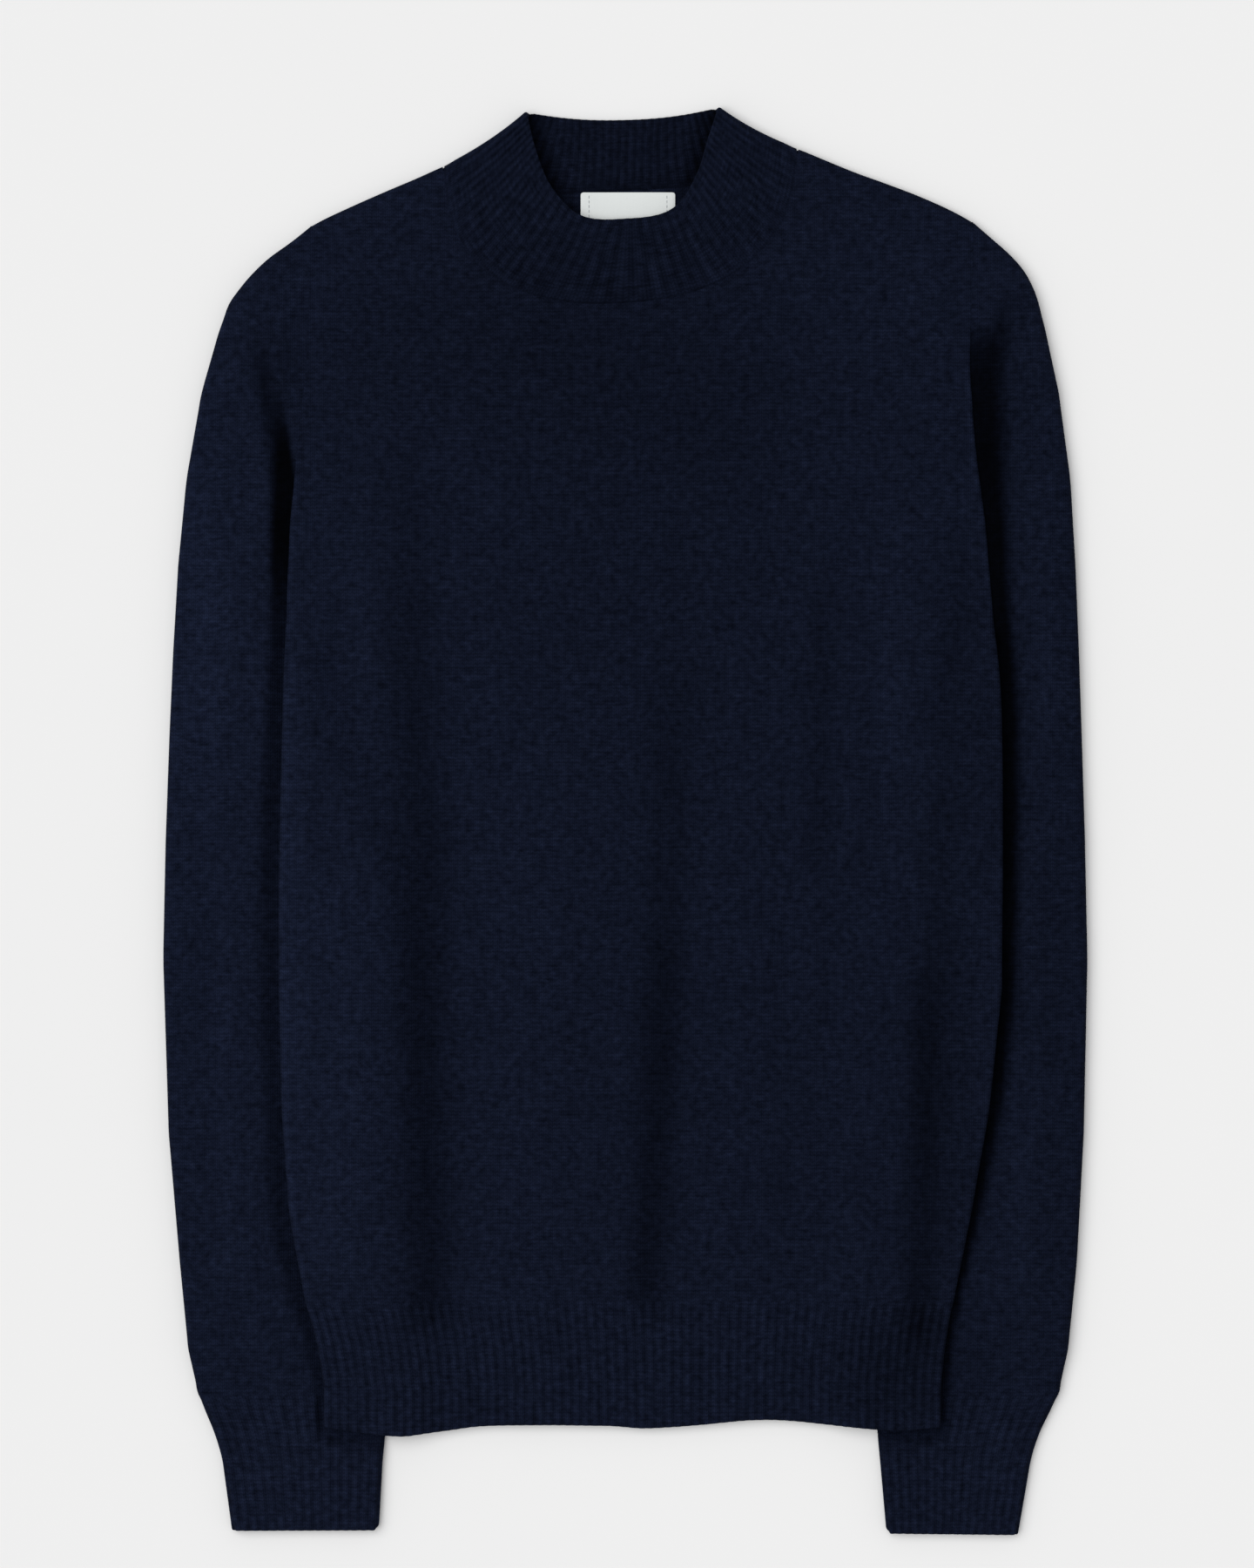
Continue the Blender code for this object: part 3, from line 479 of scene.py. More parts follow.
def by_side(x, formula):
    """A formula of (side, distance out) on both sides."""
    return np.where(x > 0, formula(LEFT, x), formula(RIGHT, -x))


# ---- Folds ----


class Fold(NamedTuple):
    """A soft fold in the cloth from its upper to its lower end; a ridge has a negative depth."""

    top: tuple
    low: tuple
    depth: float
    half_width: float
    start: float = 60.0
    end: float = 20.0


BODY_FOLDS = (
    Fold(top=(-113, 215), low=(-112, 60), depth=1.0, half_width=23, end=90.0),
    Fold(top=(-115, 150), low=(-107, -30), depth=1.7, half_width=23, start=90.0, end=60.0),
    Fold(top=(-107, 30), low=(-104, -278), depth=1.9, half_width=24),
    Fold(top=(27, 110), low=(21, -90), depth=1.2, half_width=19, end=60.0),
    Fold(top=(24, -30), low=(11, -270), depth=2.0, half_width=18),
    Fold(top=(177, 170), low=(163, -110), depth=0.9, half_width=15, end=60.0),
    Fold(top=(161, -50), low=(154, -285), depth=1.8, half_width=16),
    Fold(top=(106, 150), low=(101, -40), depth=0.9, half_width=13),
    Fold(top=(86, -130), low=(83, -225), depth=0.4, half_width=12),
    Fold(top=(143, 190), low=(141, 20), depth=-0.7, half_width=15),
    Fold(top=(-150, 0), low=(-155, -250), depth=-0.8, half_width=26),
    Fold(top=(-55, 60), low=(-57, -258), depth=-0.3, half_width=34),
    Fold(top=(60, -20), low=(52, -250), depth=-0.2, half_width=26),
)
SLEEVE_FOLDS = {
    "right": (
        Fold(top=(196, 262), low=(178, 172), depth=2.6, half_width=9, start=30.0),
        Fold(top=(222, 170), low=(216, 40), depth=-0.8, half_width=14),
        Fold(top=(228, 30), low=(224, -120), depth=0.5, half_width=12),
        Fold(top=(214, -60), low=(206, -250), depth=-0.6, half_width=14),
    ),
    "left": (
        Fold(top=(203, 284), low=(193, 226), depth=2.2, half_width=9, start=24.0),
        Fold(top=(221, 180), low=(222, 30), depth=-0.5, half_width=12),
        Fold(top=(228, 0), low=(224, -140), depth=0.5, half_width=12),
        Fold(top=(214, -120), low=(204, -260), depth=-0.6, half_width=14),
    ),
}


def fold_depths(folds, x, y):
    """How deep the folds press the cloth in at these places."""
    total = np.zeros_like(x)
    for fold in folds:
        away, along = distance_to_line(x, y, fold.top, fold.low)
        length = math.dist(fold.top, fold.low)
        fade = ease(along * length / fold.start) * ease((1.0 - along) * length / fold.end)
        total += fold.depth * fade * bell(away / fold.half_width)
    return total * bpy.context.scene.sweater_cloth.fold_depth


class Patch(NamedTuple):
    """A broad place where the wool is painted darker, as painted shade, or lighter below 0, as painted
    light.
    """

    place: tuple
    half_size: tuple
    change: float


# Broad painted light and shade over the garment, with a painted highlight along the body's edge on the
# wearer's right.
PAINTED_LIGHT_PATCHES = (
    Patch(place=(-10, 260), half_size=(150, 110), change=0.19),
    Patch(place=(-75, 268), half_size=(100, 75), change=0.12),
    Patch(place=(55, 205), half_size=(60, 60), change=0.09),
    Patch(place=(-178, 240), half_size=(13, 34), change=0.20),
    Patch(place=(-140, 235), half_size=(80, 110), change=0.12),
    Patch(place=(0, 150), half_size=(140, 180), change=0.12),
    Patch(place=(25, -120), half_size=(170, 190), change=0.06),
    Patch(place=(150, 290), half_size=(60, 60), change=-0.06),
    Patch(place=(-228, 90), half_size=(50, 260), change=-0.22),
    Patch(place=(-176, -60), half_size=(13, 220), change=-0.34),
    Patch(place=(-145, -190), half_size=(40, 90), change=-0.06),
    Patch(place=(190, 50), half_size=(20, 150), change=0.12),
    Patch(place=(169, -150), half_size=(24, 150), change=0.20),
    Patch(place=(150, -290), half_size=(70, 60), change=0.32),
    Patch(place=(-175, -345), half_size=(60, 50), change=-0.12),
    Patch(place=(190, -330), half_size=(60, 90), change=-0.16),
)
# Painted shade: the wool is painted darker by this much for each millimetre towards the wearer's left,
# away from the key light.
PAINTED_SHADE_SLOPE = 0.0004


# Painted light and shade: how much darker the wool is painted at these places, lighter below 0.
def painted_light_and_shade(x, y):
    total = PAINTED_SHADE_SLOPE * x
    for patch in PAINTED_LIGHT_PATCHES:
        away = np.hypot(
            (x - patch.place[0]) / patch.half_size[0], (y - patch.place[1]) / patch.half_size[1]
        )
        total = total + patch.change * bell(away)
    return total


class Ripple(NamedTuple):
    """One part of the slow unevenness of cloth that was smoothed by hand, by its wavelengths."""

    across: float
    along: float
    phase: float
    height: float


RIPPLES = (
    Ripple(83.0, 127.0, 0.7, 0.22),
    Ripple(47.0, 61.0, 2.1, 0.16),
    Ripple(29.0, 38.0, 4.4, 0.10),
    Ripple(17.0, 23.0, 1.3, 0.05),
)


def ripples(x, y):
    total = np.zeros_like(x)
    for wave in RIPPLES:
        # The crests wander and lean, so that no two are alike.
        wander = 1.3 * np.sin(y * math.tau / (wave.along * 2.7))
        crests = np.sin(x * math.tau / wave.across + wave.phase + wander)
        lean = x / wave.across
        total += wave.height * crests * np.sin(y * math.tau / wave.along + 2.0 * wave.phase + lean)
    return total


# ---- Heights ----


def body_lift(x, y):
    """How far the back's underside is held up by the sleeve below it."""

    def over_sleeve(side, out):
        return ease((out - side.inner(y) + RAMP_LEAD) / RAMP_RUN + 1.0)

    return BODY_LIFT * by_side(x, over_sleeve) * ease((UNDERARM_Y - y) / LIFT_RUN)


def inward_of(x, y):
    """How far in from the body's edge a place lies."""
    return by_side(x, lambda side, out: side.edge(y) - SEAM_HALF_GAP - out)


def body_loft(x, y, folds):
    """The height of the front's outside above the back's underside."""
    below = ease((UNDERARM_Y + SIDE_ROLL_LEAD - y) / SIDE_ROLL_RUN)
    side_roll = ease(1.0 - inward_of(x, y) / SIDE_LOFT_WIDTH) * below
    loft = BODY_LOFT + (SIDE_LOFT - BODY_LOFT) * side_roll
    return loft - folds * ease(inward_of(x, y) / FOLD_FREE_BODY)


def armhole_low(side, y):
    """The height of the armhole seam: level with the cloth at the shoulder, low beside the chest."""
    return HIDDEN_SLEEVE + ARMHOLE_DIP * ease((y - side.dip_y) / DIP_RUN)


def side_seam(side, y):
    """The heights of the front's and the back's edge, where a sewn-on sleeve meets them."""
    x = side.sign * side.edge(y)
    under = body_lift(x, y)
    middle = under + SIDE_LOFT / 2.0
    return mix(armhole_low(side, y), middle, at_side(y)), mix(under, middle, at_side(y))


def rolled(low, high, inward):
    """A quarter circle from low at the edge to high inside; low may be above high."""
    radius = np.maximum(np.abs(high - low), 1e-3)
    return low + (high - low) * quarter_round(inward / radius)


def below_fold(x, y):
    """How far a place lies below the shoulder fold, square to it."""
    slope = (shoulder_y(x + 1.0) - shoulder_y(x - 1.0)) / 2.0
    return (shoulder_y(x) - y) / np.hypot(1.0, slope)


def front_height(x, y):
    """The front's outside."""
    folds = fold_depths(BODY_FOLDS, x, y) - ripples(x, y)
    under = body_lift(x, y)
    plain = body_loft(x, y, 0.0)
    top = under + body_loft(x, y, folds)
    middle = under + plain / 2.0
    low = mix(by_side(x, lambda side, out: armhole_low(side, y)), middle, at_side(y))
    height = rolled(low, top, inward_of(x, y))
    return mix(middle, height, quarter_round(below_fold(x, y) / FOLD_RADIUS))


def back_height(x, y):
    """The back's outside, which is its underside."""
    under = body_lift(x, y)
    middle = under + body_loft(x, y, 0.0) / 2.0
    height = rolled(mix(under, middle, at_side(y)), under, inward_of(x, y))
    return mix(middle, height, quarter_round(below_fold(x, y) / FOLD_RADIUS))


def outside_body(side, out, y):
    """How far a place lies outside the body's outline; negative under the body."""
    return np.maximum(out - side.edge(y), hem_line(side.sign * out) - HEM_CLEARANCE - y)


def sleeve_height(side, out, y):
    """The sleeve's top: flat under the body, low in the groove beside it, then rising to its crown."""
    clear = outside_body(side, out, y)
    # Below the underarm the body rests on the sleeve's end, which is tucked in there.
    rest = np.clip(BODY_LIFT * ease((UNDERARM_Y - y) / LIFT_RUN) - TUCK_GAP, TUCK_TOP, HIDDEN_SLEEVE)
    low = mix(mix(HIDDEN_SLEEVE, rest, tucked_in(y)), side_seam(side, y)[0], joined(y))
    near_wrist = ease((WRIST_Y + WRIST_RUN - y) / WRIST_RUN)
    high = mix(SLEEVE_LOFT, CUFF_LOFT, near_wrist)
    rise = ease(clear / side.groove(y))
    crown = SLEEVE_CROWN * ease(clear / CROWN_RUN) * (1.0 - near_wrist)
    folds = fold_depths(SLEEVE_FOLDS[side.name], out, y) - ripples(side.sign * out, y)
    return low + (high - low) * rise + crown - folds * ease(clear / FOLD_FREE_SLEEVE)


def cuff_height(side, out, y):
    clear = outside_body(side, out, y)
    unevenness = ripples(side.sign * out, y) * ease(clear / FOLD_FREE_SLEEVE)
    return mix(HIDDEN_CUFF, CUFF_LOFT, ease(clear / CUFF_RISE_RUN)) + unevenness


# ---- Cloth walls ----


class Cloth(NamedTuple):
    """Rows and columns of points on a piece's outside, with what is known at each.

    knit is the place in the knit: stitches' distance across and along. full is the share of the wall's
    thickness, which fades to nothing where two edges of cloth are to meet in a seam. hollow is painted
    shade: how much of the light is lost in a deep fold, painted into the colour; below 0 it is painted
    light.
    """

    points: np.ndarray
    knit: np.ndarray
    full: np.ndarray
    hollow: np.ndarray


def grid_normals(points, ring):
    """Normals of a grid of points; a ring's last column meets its first."""
    if ring:
        points = np.concatenate([points[:, -2:-1], points, points[:, 1:2]], axis=1)
    along = np.gradient(points, axis=0)
    across = np.gradient(points, axis=1)
    normals = np.cross(across, along)
    length = np.linalg.norm(normals, axis=2, keepdims=True)
    normals = normals / np.maximum(length, 1e-9)
    return normals[:, 1:-1] if ring else normals


EDGE_TURNS = (30.0, 60.0, 90.0, 120.0, 150.0)


def wall_rows(cloth, normals, thickness, rolled_end):
    """Rows of points round a closed wall: outside, rolled edge, inside and back to the start."""
    half = thickness / 2.0 * cloth.full[..., None]
    outside = cloth.points
    middle, inside = outside - normals * half, outside - 2.0 * normals * half
    rows = [outside]
    knit = [cloth.knit]
    hollow = [cloth.hollow]
    if rolled_end:
        onward = cloth.points[-1] - cloth.points[-2]
        onward /= np.maximum(np.linalg.norm(onward, axis=1, keepdims=True), 1e-9)
        for turn in EDGE_TURNS:
            angle = math.radians(turn)
            swing = normals[-1] * math.cos(angle) + onward * math.sin(angle)
            rows.append((middle[-1] + swing * half[-1])[None])
            knit.append(cloth.knit[-1:] + np.array([0.0, angle * thickness / 2.0]))
            hollow.append(cloth.hollow[-1:])
    rows += [inside[::-1], outside[:1]]
    knit += [cloth.knit[::-1], cloth.knit[:1]]
    hollow += [cloth.hollow[::-1], cloth.hollow[:1]]
    return np.concatenate(rows), np.concatenate(knit), np.concatenate(hollow)


def cloth_piece(name, cloth, thickness, normals, rolled_end=False):
    """A closed piece of cloth; its UV map Knit and its attribute hollow, the painted shade and light, are
    read by the materials.
    """
    points, knit, hollow = wall_rows(cloth, normals, thickness, rolled_end)
    rows, columns = points.shape[:2]
    bm = bmesh.new()
    bmesh.ops.create_grid(bm, x_segments=columns - 1, y_segments=rows - 1, size=0.5)
    mesh = bpy.data.meshes.new(name)
    bm.to_mesh(mesh)
    flat = np.empty(len(mesh.vertices) * 3)
    mesh.vertices.foreach_get("co", flat)
    column = np.rint((flat[0::3] + 0.5) * (columns - 1)).astype(int)
    row = np.rint((flat[1::3] + 0.5) * (rows - 1)).astype(int)
    mesh.vertices.foreach_set("co", (points[row, column] * METRE).ravel())
    corner = np.empty(len(mesh.loops), dtype=int)
    mesh.loops.foreach_get("vertex_index", corner)
    uv = mesh.uv_layers.new(name="Knit")
    uv.uv.foreach_set("vector", (knit[row[corner], column[corner]] * METRE).ravel())
    shade = mesh.attributes.new("hollow", "FLOAT", "POINT")
    shade.data.foreach_set("value", hollow[row, column].astype(np.float32))
    bm.clear()
    bm.from_mesh(mesh)
    bmesh.ops.remove_doubles(bm, verts=bm.verts, dist=2e-6)
    bmesh.ops.recalc_face_normals(bm, faces=bm.faces)
    bm.to_mesh(mesh)
    bm.free()
    mesh.shade_smooth()
    mesh.set_sharp_from_angle(angle=math.radians(70))
    piece = bpy.data.objects.new(name, mesh)
    bpy.context.scene.collection.objects.link(piece)
    return piece


def dress(piece, node, material):
    """Puts a piece in its node's place, on the node's body."""
    piece.data.materials.append(material)
    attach(piece, "root")
    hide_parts(node)


def knit_piece(node, cloth, normals, wall, rolled_end=False):
    """A node's cloth in plain knit, or in ribs where its wall is a rib's."""
    piece = cloth_piece(f"{node}_knit", cloth, cloth_setting(wall), normals, rolled_end)
    if wall == "knit_wall":
        dress(piece, node, knit_material("wool_plain_knit", PLAIN_RELIEF))
    else:
        dress(piece, node, knit_material("wool_rib_knit", RIB_RELIEF))
    return piece


def facing(normals, row, column, up=True):
    """Turns all the normals so that the one at this row and column faces up, or down."""
    return normals if (normals[row, column, 2] > 0) == up else -normals


def close_steps(length, start, end, step):
    """Distances along a length: close steps at its start and end, even ones between."""
    first = [distance for distance in start if distance < length * 0.45]
    last = [length - distance for distance in reversed(end) if distance < length * 0.45]
    low, high = first[-1], last[0]
    count = max(int(round((high - low) / step)), 1)
    between = [mix(low, high, number / count) for number in range(1, count)]
    return np.array(first + between + last)


# Close steps beside a seam and where the cloth rolls over.
SEAM_STEPS = (0.0, 0.8, 1.8, 3.2, 4.6)
ROLL_STEPS = (0.0, 0.05, 0.3, 0.8, 1.5, 2.4, 3.5, 4.8, 6.4)
END_FACE = 0.05
# Two cloths overlap by this much past the line of their seam, so that no gap shows.
SEAM_OVERLAP = 0.4
# A rolled edge reaches about this far past the last row.
EDGE_ROLL = 1.0
RIB_ROWS = 26


def end_face(distance):
    """The share of the wall's thickness: nothing at the very edge of a piece, so that its wall closes."""
    return np.clip(distance / END_FACE, 0.0, 1.0)


# ---- Body panels and hem ribs ----


NECK_INSET = 75.0
FOLD_SHADE = 0.23
RIM_SHADOW = 0.45
RIM_SHADOW_RUN = 13.0
EDGE_LIGHT = 0.25
EDGE_LIGHT_RUN = 3.4


def near_rim(x, y, run):
    """1 at the front collar's upper edge, fading out over a distance."""
    share = np.linspace(0.0, 1.0, 50)
    edge_x, edge_y = rim_x(share), rim_y(share)
    away = np.hypot(x[..., None] - edge_x, y[..., None] - edge_y).min(axis=-1)
    return ease(1.0 - away / run)


def body_shade(x, y, drop):
    """Painted shade: how much darker the cloth is painted in the folds, with the broad painted light and
    shade; the back's inside gets painted shadow below the collar's edge.
    """
    shade = fold_depths(BODY_FOLDS, x, y) * FOLD_SHADE + painted_light_and_shade(x, y)
    if drop == BACK_NECK_DROP:
        return shade + RIM_SHADOW * near_rim(x, y, RIM_SHADOW_RUN)
    # Painted highlight: the front's rolled edges are painted lighter beside the dark grooves, where they
    # catch the light.
    beside_groove = by_side(x, lambda side, out: ease((side.dip_y + 10.0 - y) / 20.0) + 0.0 * out)
    return shade - EDGE_LIGHT * bell((inward_of(x, y) - 1.6) / EDGE_LIGHT_RUN) * beside_groove


def neck_point(share, drop):
    """The neck seam at a share of its way from the right neck point to the left one."""
    angle = math.pi * share
    across = -np.sign(np.cos(angle)) * np.abs(np.cos(angle)) ** (2.0 / NECK_POWER)
    down = np.maximum(np.sin(angle), 0.0) ** (2.0 / NECK_POWER)
    x = NECK_MIDDLE + NECK_HALF * across
    fold_y = mix(NECK_RIGHT[1], NECK_LEFT[1], (x - NECK_RIGHT[0]) / (2.0 * NECK_HALF))
    return x, fold_y - drop * down


def panel_columns(drop, step):
    """Each column's share across at the rib, and its end on the shoulder or the neck seam."""
    low_right, low_left = right_edge(RIB_TOP_Y), left_edge(RIB_TOP_Y)
    width = low_right + low_left
    low = close_steps(width, ROLL_STEPS, ROLL_STEPS, step)
    right_part = low <= NECK_INSET
    left_part = low >= width - NECK_INSET
    neck_share = (low - NECK_INSET) / (width - 2.0 * NECK_INSET)
    neck_x, neck_y = neck_point(np.clip(neck_share, 0.0, 1.0), drop)
    top_right = -right_edge(box_mm("right_sleeve")[1].y - 0.5)
    top_left = left_edge(box_mm("left_sleeve")[1].y - 0.5)
    right_x = mix(top_right, NECK_RIGHT[0], low / NECK_INSET)
    left_x = mix(top_left, NECK_LEFT[0], (width - low) / NECK_INSET)
    x = np.where(right_part, right_x, np.where(left_part, left_x, neck_x))
    y = np.where(right_part | left_part, shoulder_y(x), neck_y)
    return low, x, y


def across_share(x, y):
    return (x + right_edge(y)) / (right_edge(y) + left_edge(y))


def between_sides(y, share):
    """The place across at a share of the body's width, from its right side to its left one."""
    return mix(-right_edge(y) + SEAM_HALF_GAP, left_edge(y) - SEAM_HALF_GAP, share)


def panel_cloth(height, drop, step):
    low, top_x, top_y = panel_columns(drop, step)
    length = float(top_y.max()) - RIB_TOP_Y
    along = close_steps(length, SEAM_STEPS, ROLL_STEPS, step)
    share = along / length
    close = np.minimum(length - along, along.max())
    y = mix(RIB_TOP_Y - SEAM_OVERLAP, top_y[None, :], share[:, None])
    near_top = (close < ROLL_STEPS[-1] + 0.1)[:, None]
    y = np.where(near_top, top_y[None, :] - close[:, None], y)
    low_share = across_share(low - right_edge(RIB_TOP_Y), RIB_TOP_Y)
    top_share = across_share(top_x, top_y)
    across = mix(low_share[None, :], top_share[None, :], ease(share)[:, None] ** 2)
    x = between_sides(y, across)
    points = np.stack([x, y, height(x, y)], axis=2)
    from_side = np.minimum(low, low[::-1])
    full = np.minimum(end_face(from_side)[None, :], end_face(close)[:, None]) * np.ones_like(x)
    knit = np.stack([x, y], axis=2)
    return Cloth(points, knit, full, body_shade(x, y, drop))


def hem_cloth(height, ribs):
    """The hem rib: columns follow the ribs, rows run from the panel down to the hem."""
    width = right_edge(RIB_TOP_Y) + left_edge(RIB_TOP_Y)
    sides = np.array(ROLL_STEPS[:6])
    inner = np.linspace(sides[-1], width - sides[-1], ribs * POINTS_A_RIB + 1)
    low = np.concatenate([sides[:-1], inner, width - sides[:-1][::-1]])
    phase = (low - sides[-1]) / (width - 2.0 * sides[-1]) * ribs
    share = np.linspace(0.0, 1.0, RIB_ROWS)
    flat_y = mix(RIB_TOP_Y + SEAM_OVERLAP, HEM_LOW_Y, share)[:, None] * np.ones_like(low)[None, :]
    x = between_sides(flat_y, (low / width)[None, :])
    y = mix(RIB_TOP_Y + SEAM_OVERLAP, hem_line(x) + EDGE_ROLL, share[:, None])
    points = np.stack([x, y, height(x, y)], axis=2)
    from_side = np.minimum(low, width - low)
    full = end_face(from_side)[None, :] * np.ones_like(x)
    knit = np.stack([phase[None, :] * RIB_PITCH * np.ones_like(x), y], axis=2)
    # Painted shade between the ribs and in the folds, with the broad painted light and shade.
    shade = rib_shade(phase, x, y) + fold_depths(BODY_FOLDS, x, y) * FOLD_SHADE
    return Cloth(points, knit, full, shade), phase


RIB_PITCH = 4.9
RIB_RUN = 7.0


def rib_shape(phase):
    """The relief across a rib, 1 on the rib and 0 in the groove between two."""
    return (0.5 + 0.5 * np.cos(math.tau * phase)) ** 0.7


RIB_SHADE = 0.30


def rib_shade(phase, x, y):
    """Painted shade between two ribs and painted light on them, with the broad painted light and shade.
    """
    return RIB_SHADE * (0.6 - rib_shape(phase))[None, :] + painted_light_and_shade(x, y)


def raise_ribs(cloth, normals, phase, sunk, share=1.0):
    """Raises ribs on a piece's outside. sunk is the part of the relief that is cut in instead."""
    lift = cloth_setting("rib_relief") * (rib_shape(phase)[None, :] - sunk) * share
    return cloth._replace(points=cloth.points + normals * lift[..., None])


# ---- Sleeves and cuffs ----


def sleeve_cloth(side):
    """Rows by height. Columns run from the inner end below, round the outer fold, to the one above."""
    thickness = cloth_setting("knit_wall")
    start_y = WRIST_Y - SEAM_OVERLAP
    length = box_mm(f"{side.name}_sleeve")[1].y - start_y
    along = close_steps(length, SEAM_STEPS, SEAM_STEPS, cloth_setting("grid"))
    upper, lower = unit_steps(UPPER_COLUMNS), unit_steps(LOWER_COLUMNS)
    shares = np.concatenate([1.0 - lower, upper[1:]])
    is_upper = np.concatenate([np.zeros(len(lower)), np.ones(len(upper) - 1)])[None, :] > 0
    y = (start_y + along)[:, None] * np.ones_like(shares)[None, :]
    outer, inner = side.outer(y), side.inner(y)
    at_armhole = joined(y)
    tucked = tucked_in(y)
    inner = mix(inner, np.minimum(inner, side.edge(y) - TUCK_REACH), tucked)
    inner = mix(inner, side.edge(y) - SEAM_HALF_GAP - ARMHOLE_OVERLAP, at_armhole)
    width = np.maximum(outer - inner, LEAST_WIDTH)
    from_outer = shares[None, :] * width
    out = outer - from_outer
    clear = outside_body(side, out, y)
    step_down = ARMHOLE_STEP * at_armhole * ease(1.0 - clear / ARMHOLE_STEP_RUN)
    top = sleeve_height(side, out, y) - step_down
    slope = (side.outer(y + 1.0) - side.outer(y - 1.0)) / 2.0
    square = 1.0 / np.hypot(1.0, slope)
    radius = sleeve_height(side, outer - np.minimum(OUTER_FOLD, width / 2.0), y) / 2.0
    inner_radius = mix(HIDDEN_SLEEVE, TUCK_TOP, tucked) / 2.0
    open_end = mix(quarter_round((width - from_outer) / inner_radius), 1.0, at_armhole)
    roundness = quarter_round(from_outer * square / radius) * open_end
    end_middle = mix(radius, inner_radius, ease(from_outer / width))
    low = side_seam(side, y)[1] * at_armhole * ease(1.0 - (width - from_outer) / LOW_SEAM_RUN)
    z = mix(end_middle, np.where(is_upper, top, low), roundness)
    points = np.stack([side.sign * out, y, z], axis=2)
    # Painted shade: the groove beside the body and the folds are painted darker, with the broad painted
    # light and shade.
    groove_share = (GROOVE_REACH - clear / side.groove(y)) / side.groove_fade
    in_groove = ease(groove_share) * is_upper * (clear > -GROOVE_UNDER)
    in_groove = in_groove * ease((clear - side.groove_from(y)) / CORE_RUN + 1.0)
    folds = fold_depths(SLEEVE_FOLDS[side.name], out, y) * FOLD_SHADE
    shade = mix(folds + painted_light_and_shade(side.sign * out, y), 1.0, side.groove_dark(y) * in_groove)
    seam = mix(1.0, end_face(width - from_outer), at_armhole)
    # The two layers' walls grow thin where the layers come close.
    between = np.clip((top - low) / (2.0 * thickness), LEAST_WALL, 1.0)
    full = seam * between * np.minimum(1.0, width / THIN_WIDTH)
    knit = np.stack([side.sign * out + KNIT_APART * is_upper, y], axis=2)
    return Cloth(points, knit, full, shade), at_armhole


UPPER_COLUMNS = 46
LOWER_COLUMNS = 24
LEAST_WIDTH = 0.3
# Walls are thinner where the sleeve is narrower than this, and never under this share.
THIN_WIDTH = 8.0
LEAST_WALL = 0.03
# Keeps the knit of a sleeve's two layers apart in their map.
KNIT_APART = 700.0
ARMHOLE_OVERLAP = 0.4
LOW_SEAM_RUN = 5.0
# The sleeve's top lies this much below the body's edge at the armhole.
ARMHOLE_STEP = 0.1
ARMHOLE_STEP_RUN = 0.6
# The sleeve's height this far in from its outer fold gives the fold's radius.
OUTER_FOLD = 4.0
# The groove's dark reaches a little past its width and goes on under the body.
GROOVE_REACH = 1.2
GROOVE_UNDER = 8.0
CORE_RUN = 4.0


def unit_steps(count):
    """0 to 1 with close steps at both ends, where the cloth rolls over."""
    even = np.linspace(0.0, 1.0, count)
    close = mix(even, 0.5 - 0.5 * np.cos(math.pi * even), 0.8)
    return np.insert(close, -1, 1.0 - 0.0006)


def cuff_end(side):
    """The cuff's open end by distance out: straight on beyond its rounded corners."""
    low, high = box_mm(f"{side.name}_cuff")
    last = side.outer(low.y) - CUFF_OUTER_CORNER
    bottom_out = np.linspace(side.inner(low.y) + CUFF_CORNER_RUN, last, CUFF_KNOTS)
    y = reach(f"{side.name}_cuff", 0, side.sign * bottom_out)[0]
    outer_slope = (y[-1] - y[-2]) / (bottom_out[-1] - bottom_out[-2])
    out = np.concatenate([[bottom_out[0] - CUFF_BEYOND], bottom_out, [bottom_out[-1] + CUFF_BEYOND]])
    line = smooth_curve(out, np.concatenate([[y[0]], y, [y[-1] + CUFF_BEYOND * outer_slope]]))
    return line, float(y.mean())


